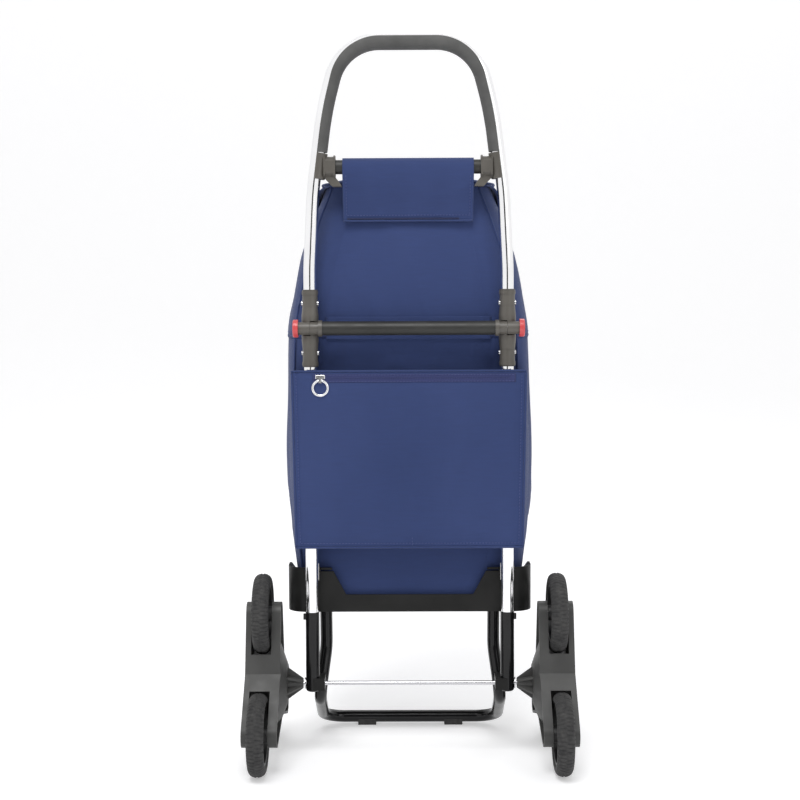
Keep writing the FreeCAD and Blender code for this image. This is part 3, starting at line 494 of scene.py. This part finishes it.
def tube_piece(name, route, radius, look, sides=8, closed=False):
    """A round bead along a list of points."""
    points, faces, coordinates = [], [], []
    count = len(route)
    run = 0.0
    for index, place in enumerate(route):
        before = route[index - 1] if (index or closed) else place
        after = route[(index + 1) % count] if (index < count - 1 or closed) else place
        along = (Vector(after) - Vector(before)).normalized()
        side = along.cross(Vector((0, 0, 1)))
        if side.length < 0.2:
            side = along.cross(Vector((0, 1, 0)))
        side.normalize()
        up = side.cross(along)
        if index:
            run += (Vector(place) - Vector(route[index - 1])).length
        for step in range(sides):
            angle = 2 * math.pi * step / sides
            points.append(Vector(place) + side * (radius * math.cos(angle)) + up * (radius * math.sin(angle)))
            coordinates.append((radius * angle, run))
    rings = count if closed else count - 1
    for ring in range(rings):
        nxt = (ring + 1) % count
        for step in range(sides):
            other = (step + 1) % sides
            faces.append((ring * sides + step, ring * sides + other, nxt * sides + other, nxt * sides + step))
    if not closed:
        faces.append(tuple(reversed(range(sides))))
        faces.append(tuple((count - 1) * sides + step for step in range(sides)))
    return make_piece(name, points, faces, look, coordinates)


def stitch_row(name, rows, look=None, pitch=0.0045, length=0.003, radius=0.0005):
    """Rows of short stitches, each a small capsule that lies along its row."""
    points, faces = [], []
    for route in rows:
        distance = 0.0
        next_at = pitch / 2
        for start, end in zip(route, route[1:]):
            start, end = Vector(start), Vector(end)
            run = (end - start).length
            if run < 1e-9:
                continue
            along = (end - start) / run
            while next_at <= distance + run:
                middle = start + along * (next_at - distance)
                add_stitch(points, faces, middle, along, length, radius)
                next_at += pitch
            distance += run
    return make_piece(name, points, faces, look or thread)


def add_stitch(points, faces, middle, along, length, radius):
    side = along.cross(Vector((0, 0, 1)))
    if side.length < 0.2:
        side = along.cross(Vector((0, 1, 0)))
    side.normalize()
    up = side.cross(along)
    base = len(points)
    sections = ((-0.5, 0.35), (-0.3, 1.0), (0.3, 1.0), (0.5, 0.35))
    sides = 5
    for place, size in sections:
        centre = middle + along * (length * place)
        for step in range(sides):
            angle = 2 * math.pi * step / sides
            reach = radius * size
            points.append(centre + side * (reach * math.cos(angle)) + up * (reach * math.sin(angle)))
    for ring in range(len(sections) - 1):
        for step in range(sides):
            other = (step + 1) % sides
            a = base + ring * sides
            faces.append((a + step, a + other, a + sides + other, a + sides + step))
    faces.append(tuple(base + step for step in reversed(range(sides))))
    top = base + (len(sections) - 1) * sides
    faces.append(tuple(top + step for step in range(sides)))


# ---------------------------------------------------------------- bag shell
back_corner = 0.052
front_corner = 0.030
bag_cell = 0.005
panel_steps, side_steps, corner_steps = 66, 32, 7
cloth_thickness = 0.0014
belly_z = 0.431
# height, half width, back, front
bag_profile = [
    (lower_lo.z, 0.160, bag_back + 0.007, lower_hi.y - 0.009),
    (tray_hi.z, 0.167, bag_back + 0.005, lower_hi.y - 0.005),
    (0.345, 0.1745, bag_back + 0.001, lower_hi.y - 0.001),
    (belly_z, 0.1785, bag_back, lower_hi.y),
    (0.530, 0.1755, bag_back, lower_hi.y - 0.002),
    (split_z, 0.1725, bag_back, lower_hi.y - 0.005),
    (0.660, 0.1650, bag_back, lower_hi.y - 0.009),
    (0.721, 0.1530, bag_back + 0.001, lower_hi.y - 0.016),
    (0.775, 0.1350, bag_back + 0.003, lower_hi.y - 0.024),
    (upper_hi.z, 0.1190, bag_back + 0.005, lid_hi.y),
]


def bag_ring(z):
    """Points round the bag at one height: (x, y, outward x, outward y, run, panel share -1..1, panel)."""
    half, back, front = through(bag_profile, z)
    near, far = back_corner, front_corner
    ring = []
    run = 0.0
    depth = front - back - near - far
    widths = [2 * (half - near), depth, 2 * (half - far), depth]
    counts = [panel_steps, side_steps, panel_steps, side_steps]
    radii = [near, far, far, near]
    # panels run back (+x going), right side, front, left side
    turns = [
        (Vector((-half + near, back)), Vector((1, 0)), Vector((0, -1))),
        (Vector((half, back + near)), Vector((0, 1)), Vector((1, 0))),
        (Vector((half - far, front)), Vector((-1, 0)), Vector((0, 1))),
        (Vector((-half, front - far)), Vector((0, -1)), Vector((-1, 0))),
    ]
    for panel, (start, along, out) in enumerate(turns):
        width = widths[panel]
        count = counts[panel]
        r = radii[panel]
        for step in range(count):
            share = step / count
            place = start + along * (width * share)
            ring.append((place.x, place.y, out.x, out.y, run + width * share, 2 * share - 1, panel))
        run += width
        end = start + along * width
        centre = end - out * r
        for step in range(corner_steps):
            angle = math.pi / 2 * step / corner_steps
            direction = out * math.cos(angle) + along * math.sin(angle)
            place = centre + direction * r
            ring.append((place.x, place.y, direction.x, direction.y, run + r * angle, 1.0, panel + 0.5))
        run += r * math.pi / 2
    return ring, run


def bag_swell(x, y, z, share, panel):
    """How far the cloth stands out of the plain shell, in metres."""
    out = 0.0
    flat = 1 - share * share if panel == int(panel) else 0.0
    up = ease((z - tray_hi.z + 0.02) / 0.12) * ease((upper_hi.z - z) / 0.10)
    if panel == 0:
        out += 0.0040 * flat * up
        out -= 0.0030 * ease((abs(x) - 0.085) / 0.025) * up
    elif panel == 2:
        out += 0.009 * flat * up
    elif panel in (1, 3):
        out += 0.004 * flat * up
    drape = fuzz(x, y, z * 0.30, 0.055, 3.1) * 0.0018
    drape += (ridge(x + z * 0.25, y, z * 0.35, 0.085, 7.7) - 0.3) * 0.0020
    drape += (ridge(x - z * 0.45, y, z * 0.5, 0.12, 1.3) - 0.3) * 0.0016
    slump = math.exp(-((z - tray_hi.z - 0.028) / 0.026) ** 2)
    drape += slump * (0.0020 + 0.0022 * fuzz(x, y, z * 2.2, 0.03, 9.2))
    low = math.exp(-((z - tray_hi.z - 0.05) / 0.07) ** 2)
    drape += low * (ridge(x + z * 0.9, y, z, 0.06, 5.5) - 0.35) * 0.0026
    out += drape * (0.35 + 0.65 * flat) * up
    return out


def bag_wall(name, low_z, high_z, outset, look):
    """The four walls of the bag between two heights, as one sheet round the bag."""
    rows = max(3, int(round((high_z - low_z) / bag_cell)) + 1)
    points, coordinates = [], []
    for row in range(rows):
        z = low_z + (high_z - low_z) * row / (rows - 1)
        ring, _ = bag_ring(z)
        for x, y, nx, ny, run, share, panel in ring:
            out = bag_swell(x, y, z, share, panel) + outset
            points.append((x + nx * out, y + ny * out, z))
            coordinates.append((run, z))
        columns = len(ring)
    faces = grid_faces(rows, columns, True)
    return make_piece(name, points, faces, look, coordinates), columns


def bag_outline(z, outset):
    ring, length = bag_ring(z)
    places = []
    for x, y, nx, ny, run, share, panel in ring:
        out = bag_swell(x, y, z, share, panel) + outset
        places.append(Vector((x + nx * out, y + ny * out, z)))
    return places, length


def close_foot(piece, columns, foot_z):
    """Closes the lowest ring of a wall with a flat base, in rings that shrink to the middle."""
    mesh = piece.data
    places = [vertex.co.copy() for vertex in mesh.vertices]
    faces = [tuple(polygon.vertices) for polygon in mesh.polygons]
    layer = mesh.uv_layers[0]
    coordinates = [(0.0, 0.0)] * len(places)
    for polygon in mesh.polygons:
        for corner, vertex in zip(polygon.loop_indices, polygon.vertices):
            coordinates[vertex] = tuple(layer.data[corner].uv)
    middle = Vector((0, (lower_lo.y + lower_hi.y) / 2, foot_z))
    previous = list(range(columns))
    for share in (0.97, 0.85, 0.6, 0.3):
        first = len(places)
        for index in range(columns):
            edge = places[index]
            place = middle + (Vector((edge.x, edge.y, foot_z)) - middle) * share
            places.append(place)
            coordinates.append((place.x, place.y))
        for index in range(columns):
            after = (index + 1) % columns
            faces.append((previous[after], previous[index], first + index, first + after))
        previous = [first + index for index in range(columns)]
    places.append(middle)
    coordinates.append((middle.x, middle.y))
    for index in range(columns):
        after = (index + 1) % columns
        faces.append((previous[after], previous[index], len(places) - 1))
    return make_piece(piece.name + "_closed", places, faces, navy, coordinates)


def make_bag_lower():
    wall, columns = bag_wall("bag_lower_wall", lower_lo.z + 0.001, split_z - 0.0004, 0.0, navy)
    whole = close_foot(wall, columns, lower_lo.z + 0.001)
    bpy.data.objects.remove(wall)
    whole.name = "bag_lower_cloth"
    thicken(whole, cloth_thickness)
    _, length = bag_outline(belly_z, 0)
    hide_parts("bag_lower")
    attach(whole, "frame")
    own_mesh(whole)
    return whole


def make_bag_upper():
    hem = 0.014
    wall, _ = bag_wall("bag_upper_cloth", split_z - hem, upper_hi.z, 0.0011, navy)
    thicken(wall, cloth_thickness)
    _, length = bag_outline(0.70, 0)
    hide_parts("bag_upper")
    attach(wall, "handle")
    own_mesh(wall)
    return wall


def make_bag_seams():
    """Piped seams down the four corners, and the double stitching beside the hem at the joint's height."""
    middle = corner_steps // 2
    half_round = panel_steps + side_steps + 2 * corner_steps
    corners = [panel_steps + middle, half_round - corner_steps + middle]
    corners += [half_round + corner for corner in corners]
    for part, low, high, body, joint in (
        ("lower", tray_hi.z - 0.03, split_z - 0.016, "frame", "tray_fold"),
        ("upper", split_z - 0.013, upper_hi.z - 0.001, "handle", "handle_fold"),
    ):
        for number, column in enumerate(corners):
            route = []
            steps = int((high - low) / 0.006)
            for step in range(steps + 1):
                z = low + (high - low) * step / steps
                ring, _ = bag_ring(z)
                x, y, nx, ny, run, share, panel = ring[column]
                out = bag_swell(x, y, z, share, panel) + 0.0014
                route.append(Vector((x + nx * out, y + ny * out, z)))
            bead = tube_piece(f"bag_{part}_piping_{number + 1}", route, 0.0017, navy)
            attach(bead, body)
            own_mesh(bead)
    rows = []
    for z in (split_z - 0.011, split_z - 0.006):
        outline, _ = bag_outline(z, 0.0014)
        rows.append(outline + outline[:1])
    seam = stitch_row("bag_hem_stitches", rows)
    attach(seam, "handle")
    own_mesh(seam)


def make_hinge_cloth():
    """The strip of back panel at the cross bar, where the handle folds; it is built flat and left in place,
    not moved with the handle.
    """
    half = 0.118
    rows, columns = 25, 49
    low, high = split_z - 0.016, split_z + 0.016
    points, coordinates = [], []
    for row in range(rows):
        z = low + (high - low) * row / (rows - 1)
        for column in range(columns):
            x = -half + 2 * half * column / (columns - 1)
            share = x / 0.145
            out = bag_swell(x, bag_back, z, share, 0) + 0.0024
            points.append((x, bag_back - out, z))
            coordinates.append((x, z))
    strip = make_piece("bag_hinge_cloth", points, grid_faces(rows, columns), navy, coordinates)
    thicken(strip, 0.0008)
    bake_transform(strip)


def skirt_share(y):
    """How much of the lid's skirt there is: none along the hinged back edge, all of it further round."""
    return 0.06 + 0.94 * ease((y - bag_back - 0.020) / 0.045)


def make_lid():
    """A soft lid: a slightly domed top with a stitched skirt that drops over the bag's mouth."""
    skirt = 0.032
    outline, length = bag_outline(upper_hi.z, 0.0)
    count = len(outline)
    middle = Vector((0, (lid_lo.y + lid_hi.y) / 2, lid_hi.z))
    points, coordinates, faces = [], [], []
    rings = []
    for level in range(7):
        z = upper_hi.z - skirt + skirt * level / 6
        ring, _ = bag_outline(z, 0.0030 + 0.0010 * math.sin(level * 0.9))
        drop = upper_hi.z - z
        rings.append(([Vector((p.x, p.y, upper_hi.z - drop * skirt_share(p.y))) for p in ring], level))
    for ring, level in rings:
        for index, place in enumerate(ring):
            wave = fuzz(place.x, place.y, place.z, 0.03, 2.2) * 0.0012 * (1 - level / 6)
            away = (Vector((place.x, place.y, 0)) - Vector((middle.x, middle.y, 0))).normalized()
            points.append(place + away * wave)
            coordinates.append((length * index / count, place.z))
    dome = [
        (0.985, 0.0045),
        (0.95, 0.0062),
        (0.86, 0.0082),
        (0.72, 0.0098),
        (0.55, 0.0108),
        (0.36, 0.0115),
        (0.17, 0.012),
    ]
    for share, rise in dome:
        for index, edge in enumerate(outline):
            flat = Vector((edge.x, edge.y, 0)) - Vector((middle.x, middle.y, 0))
            place = Vector((middle.x, middle.y, upper_hi.z)) + flat * share
            place.z += rise + fuzz(place.x, place.y, 0, 0.05, 4.4) * 0.0022 * (1 - share * share)
            points.append(place)
            coordinates.append((place.x, place.y))
    total = len(points) // count
    faces = grid_faces(total, count, True)
    points.append(Vector((middle.x, middle.y, upper_hi.z + 0.0122)))
    coordinates.append((0.0, middle.y))
    last = (total - 1) * count
    for index in range(count):
        faces.append((last + index, last + (index + 1) % count, len(points) - 1))
    lid = make_piece("bag_lid_cloth", points, faces, navy, coordinates)
    thicken(lid, 0.0014)
    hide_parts("bag_lid")
    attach(lid, "lid")
    width, depth = lid_hi.x - lid_lo.x, lid_hi.y - lid_lo.y
    flat = (width + 2 * skirt, depth + 2 * skirt)
    bead_route = [Vector((p.x, p.y, upper_hi.z + 0.0015)) for p in bag_outline(upper_hi.z, 0.0052)[0]]
    bead = tube_piece("bag_lid_piping", bead_route, 0.0019, navy, closed=True)
    rows = []
    for z in (upper_hi.z - skirt + 0.004, upper_hi.z - skirt + 0.008):
        outline_low, _ = bag_outline(z, 0.0052)
        rows.append([place for place in outline_low if place.y > bag_back + 0.066])
    stitches = stitch_row("bag_lid_stitches", rows)
    for extra in (bead, stitches):
        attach(extra, "lid")
    for part in (lid, bead, stitches):
        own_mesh(part)


# ---------------------------------------------------------------- flap over the bag bar
def make_flap():
    """One strip of cloth: up the front, over the bar and a little way down behind it."""
    bar_y = (bar_lo.y + bar_hi.y) / 2
    bar_z = (bar_lo.z + bar_hi.z) / 2
    over = (flap_hi.z - bar_z) - 0.0006
    half = flap_hi.x
    foot_y = bag_back - 0.0055
    crown, waves, creases = 0.0016, 0.0010, 0.0012
    hem_rise, seam_inset = 0.009, 0.005
    # Where the painted shadow line under the flap's hem starts, how long it runs and how high it sits.
    hem_shadow_start, hem_shadow_length, hem_shadow_rise = -0.086, 0.158, 0.0042

    def front_y(share):
        return foot_y + (bar_y - over - foot_y) * ease(share) ** 0.8

    def lift_at(x, z):
        lift = crown * (1 - (x / half) ** 2) + waves * fuzz(x, 0, z * 0.5, 0.035, 6.0)
        return lift + creases * (ridge(x, 0, z * 0.4, 0.06, 2.6) - 0.3)

    def on_front(x, z):
        """A place just proud of the flap's front."""
        share = (z - flap_lo.z) / (bar_z - flap_lo.z)
        return Vector((x, front_y(share) - lift_at(x, z) - 0.0004, z))

    front = []
    steps = 30
    for step in range(steps):
        share = step / steps
        z = flap_lo.z + (bar_z - flap_lo.z) * share
        front.append((front_y(share), z))
    turn = []
    for step in range(15):
        angle = math.pi * step / 14
        turn.append((bar_y - over * math.cos(angle), bar_z + over * math.sin(angle)))
    behind = []
    for step in range(1, 11):
        share = step / 10
        behind.append((bar_y + over + (bag_back + 0.007 - bar_y - over) * ease(share), bar_z - 0.020 * share))
    line = front + turn + behind
    columns = 61
    points, coordinates = [], []
    run = 0.0
    for index, (y, z) in enumerate(line):
        if index:
            run += math.hypot(y - line[index - 1][0], z - line[index - 1][1])
        hanging = ease((bar_z - z) / 0.03) if index < steps else 0.0
        for column in range(columns):
            x = -half + 2 * half * column / (columns - 1)
            points.append((x, y - hanging * lift_at(x, z), z))
            coordinates.append((x, run))
    flap = make_piece("bag_flap_cloth", points, grid_faces(len(line), columns), navy, coordinates)
    thicken(flap, 0.0016)
    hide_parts("bag_flap")
    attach(flap, "handle")
    hem = flap_lo.z + hem_rise
    inset = half - seam_inset
    level = [on_front(-inset + 2 * inset * step / 40, hem) for step in range(41)]
    sides = []
    for side in (-1, 1):
        sides.append([on_front(side * inset, hem + (bar_z - 0.012 - hem) * step / 20) for step in range(21)])
    stitches = stitch_row("bag_flap_stitches", [level] + sides, radius=0.00035)
    roll_route = [
        on_front(-half + 0.001 + (2 * half - 0.002) * step / 40, flap_lo.z + 0.0014) + Vector((0, -0.0006, 0))
        for step in range(41)
    ]
    roll = tube_piece("bag_flap_hem", roll_route, 0.0015, navy)
    # A thin dark bead just under the flap's hem is painted shadow: the shade the hem casts on the panel
    # below, drawn as a dark line.
    hem_shadow_route = []
    for step in range(31):
        place = on_front(hem_shadow_start + hem_shadow_length * step / 30, flap_lo.z + hem_shadow_rise)
        hem_shadow_route.append(place + Vector((0, -0.0009, 0)))
    hem_shadow_bead = tube_piece("flap_painted_hem_shadow", hem_shadow_route, 0.0010, navy_dark)
    for extra in (stitches, roll, hem_shadow_bead):
        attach(extra, "handle")


# ---------------------------------------------------------------- pocket on the user's side
def pocket_front(x, z):
    """The pocket's front surface: y at a place, with its sag, side folds and creases."""
    half = pocket_half(z)
    across = max(-1.0, min(1.0, x / half))
    up = (z - pocket_lo.z) / (pocket_hi.z - pocket_lo.z)
    body = (1 - across ** 4) * ease(up / 0.1) * ease((1 - up) / 0.12)
    y = pocket_lo.y - 0.0010 - 0.0030 * body
    y -= 0.0012 * body * fuzz(x, 0, z * 0.5, 0.07, 8.0)
    y -= 0.0014 * body * (ridge(x + z * 0.35, 0, z * 0.35, 0.11, 4.1) - 0.3)
    y -= 0.0010 * (ridge(x - z * 0.2, 0, z * 0.3, 0.05, 6.4) - 0.3) * body
    fold = abs(abs(x) - (half - 0.009))
    y += 0.0016 * math.exp(-((fold / 0.0028) ** 2))
    return y


def pocket_half(z):
    up = (z - pocket_lo.z) / (pocket_hi.z - pocket_lo.z)
    return 0.1605 + 0.0045 * up


def make_pocket():
    rows, columns = 64, 84
    points, coordinates = [], []
    for row in range(rows):
        z = pocket_lo.z + (pocket_hi.z - pocket_lo.z) * row / (rows - 1)
        half = pocket_half(z)
        for column in range(columns):
            x = -half + 2 * half * column / (columns - 1)
            points.append((x, pocket_front(x, z), z))
            coordinates.append((x, z))
    panel = make_piece("pocket_panel", points, grid_faces(rows, columns), navy, coordinates)
    thicken(panel, 0.0016)
    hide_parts("back_pocket")
    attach(panel, "frame")
    height = pocket_hi.z - pocket_lo.z
    back_y = pocket_lo.y + 0.0065
    inner_points = []
    for row in range(rows // 2):
        z = pocket_lo.z + 0.0005 + (height - 0.001) * row / (rows // 2 - 1)
        half = pocket_half(z) - 0.0005
        for column in range(columns // 2):
            x = -half + 2 * half * column / (columns // 2 - 1)
            edge = max(abs(x) / half, abs((z - pocket_lo.z) / height * 2 - 1))
            y = back_y - 0.004 * ease((edge - 0.93) / 0.07)
            inner_points.append((x, y, z))
    lining_uv = [(p[0], p[2]) for p in inner_points]
    faces = [tuple(reversed(face)) for face in grid_faces(rows // 2, columns // 2)]
    lining = make_piece("pocket_lining", inner_points, faces, navy_dark, lining_uv)
    thicken(lining, 0.0008)
    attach(lining, "frame")
    for side, word in ((-1, "left"), (1, "right")):
        make_pocket_gusset(side, word)
    make_pocket_edges()


def make_pocket_gusset(side, word):
    """The strip of cloth that ties the pocket's side edge back to the bag, round the tube."""
    rows, columns = 50, 9
    points, coordinates = [], []
    for row in range(rows):
        z = pocket_lo.z + 0.001 + (pocket_hi.z - pocket_lo.z - 0.002) * row / (rows - 1)
        half, back, _ = through(bag_profile, z)
        start = Vector((side * (pocket_half(z) - 0.0008), pocket_lo.y + 0.0006, z))
        end = Vector((side * (half - 0.006), back + 0.013, z))
        for column in range(columns):
            share = column / (columns - 1)
            place = start.lerp(end, share)
            place.x += side * 0.002 * math.sin(math.pi * share) * (1 + 0.6 * fuzz(0, place.y, z, 0.04, 3.0))
            points.append(place)
            coordinates.append((share * 0.045, z))
    faces = grid_faces(rows, columns)
    if side < 0:
        faces = [tuple(reversed(face)) for face in faces]
    strip = make_piece(f"pocket_gusset_{word}", points, faces, navy, coordinates)
    thicken(strip, 0.0012)
    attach(strip, "frame")


def make_pocket_edges():
    """Bound edges and stitching of the pocket."""
    outline = []
    steps = 60
    for step in range(steps + 1):
        z = pocket_hi.z - (pocket_hi.z - pocket_lo.z) * step / steps
        outline.append(Vector((-pocket_half(z), pocket_front(-pocket_half(z), z), z)))
    for step in range(1, steps + 1):
        x = -pocket_half(pocket_lo.z) + 2 * pocket_half(pocket_lo.z) * step / steps
        outline.append(Vector((x, pocket_front(x, pocket_lo.z), pocket_lo.z)))
    for step in range(1, steps + 1):
        z = pocket_lo.z + (pocket_hi.z - pocket_lo.z) * step / steps
        outline.append(Vector((pocket_half(z), pocket_front(pocket_half(z), z), z)))
    for step in range(1, steps):
        x = pocket_half(pocket_hi.z) - 2 * pocket_half(pocket_hi.z) * step / steps
        outline.append(Vector((x, pocket_front(x, pocket_hi.z), pocket_hi.z)))
    bead = tube_piece("pocket_binding", outline, 0.0015, navy, closed=True)
    rows = []
    inset = 0.006
    foot = pocket_lo.z + inset
    width = pocket_half(foot) - inset
    rows.append([Vector((x, pocket_front(x, foot) - 0.0003, foot)) for x in spread(-width, width, 60)])
    for side in (-1, 1):
        route = []
        for z in spread(foot, pocket_hi.z - 0.004, 50):
            x = side * (pocket_half(z) - inset)
            route.append(Vector((x, pocket_front(x, z) - 0.0003, z)))
        rows.append(route)
    tab_x = 0.004
    tab_heights = spread(pocket_lo.z + 0.002, pocket_lo.z + 0.014, 6)
    tab = [Vector((tab_x, pocket_front(tab_x, z) - 0.0004, z)) for z in tab_heights]
    rows.append(tab)
    stitches = stitch_row("pocket_stitches", rows, radius=0.00032)
    for extra in (bead, stitches):
        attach(extra, "frame")


def spread(first, last, steps):
    return [first + (last - first) * step / steps for step in range(steps + 1)]


# ---------------------------------------------------------------- zip
def make_zip():
    """Woven tape with a row of coil teeth down its middle."""
    middle = (zip_lo.z + zip_hi.z) / 2
    band = 0.0058
    points, coordinates = [], []
    rows, columns = 13, 90
    for row in range(rows):
        z = middle - band + 2 * band * row / (rows - 1)
        for column in range(columns):
            x = zip_lo.x + (zip_hi.x - zip_lo.x) * column / (columns - 1)
            edge = abs(2 * row / (rows - 1) - 1)
            y = pocket_front(x, z) - 0.0010 + 0.0006 * edge ** 3
            points.append((x, y, z))
            coordinates.append((x, z))
    tape = make_piece("zip_tape_cloth", points, grid_faces(rows, columns), webbing, coordinates)
    thicken(tape, 0.0007)
    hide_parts("zip_tape")
    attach(tape, "frame")
    teeth = []
    pitch = 0.0016
    end_gap = 0.006
    tooth_length, tooth_radius = 0.0026, 0.00055
    count = int((zip_hi.x - zip_lo.x - 2 * end_gap) / pitch)
    for index in range(count):
        x = zip_lo.x + end_gap + pitch * index
        side = 1 if index % 2 else -1
        y = pocket_front(x, middle) - 0.0012
        start = Vector((x, y, middle - side * 0.0004))
        teeth.append([start, start + Vector((0, 0, side * tooth_length))])
    coil_points, coil_faces = [], []
    for start, end in teeth:
        along = (end - start).normalized()
        add_stitch(coil_points, coil_faces, (start + end) / 2, along, (end - start).length, tooth_radius)
    coil = make_piece("zip_coil", coil_points, coil_faces, webbing)
    rows = []
    for z in (middle + band - 0.0014, middle - band + 0.0014):
        rows.append([Vector((x, pocket_front(x, z) - 0.0016, z)) for x in spread(zip_lo.x, zip_hi.x, 80)])
    stitches = stitch_row("zip_stitches", rows, radius=0.0003)
    for extra in (coil, stitches):
        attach(extra, "frame")


# ---------------------------------------------------------------- tyres
def make_tyre(number, side):
    """A tyre with a round crown, two sidewall beads and staggered tread blocks."""
    node = f"tyre_{number}_{side}"
    low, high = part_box(node)
    centre = (low + high) / 2
    radius = (high.z - low.z + high.y - low.y) / 4
    half = (high.x - low.x) / 2
    inner = radius - 0.0148
    steps = 360
    blocks = 60
    groove_share, groove, cut = 0.28, 0.0011, 0.0013
    bead = inner + 0.0012
    shoulder = inner + 0.0042
    profile = [(-half * 0.80, inner), (-half * 0.92, bead)]
    for step in range(25):
        angle = math.pi * (-0.5 + step / 24)
        crown = max(0.0, math.cos(angle)) ** 0.8
        profile.append((half * math.sin(angle), shoulder + (radius - shoulder) * crown))
    profile += [(half * 0.92, bead), (half * 0.80, inner)]
    points, coordinates = [], []
    for step in range(steps):
        angle = 2 * math.pi * step / steps
        for x, r in profile:
            across = x / half
            depth = 0.0
            if abs(across) < 0.93 and r > inner + 0.004:
                phase = (step / steps * blocks + (0.5 if across > 0 else 0.0)) % 1.0
                lateral = phase < groove_share
                centre_line = abs(across) < 0.055
                shoulder = 0.52 < abs(across) < 0.60
                if centre_line or shoulder:
                    depth = groove
                elif lateral and abs(across) > 0.1:
                    depth = cut
            y = (r - depth) * math.cos(angle)
            z = (r - depth) * math.sin(angle)
            points.append((centre.x + x, centre.y + y, centre.z + z))
            coordinates.append((r * angle, x))
    count = len(profile)
    faces = []
    for step in range(steps):
        row = step * count
        after = (step + 1) % steps * count
        for index in range(count):
            other = (index + 1) % count
            faces.append((row + index, after + index, after + other, row + other))
    tyre = make_piece(f"{node}_tread", points, faces, tyre_rubber, coordinates)
    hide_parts(node)
    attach(tyre, f"wheel_{number}_{side}")


make_bag_lower()
make_bag_upper()
make_bag_seams()
make_hinge_cloth()
make_lid()
make_flap()
make_pocket()
make_zip()
for wheel_side in ("left", "right"):
    for wheel_number in (1, 2, 3):
        make_tyre(wheel_number, wheel_side)
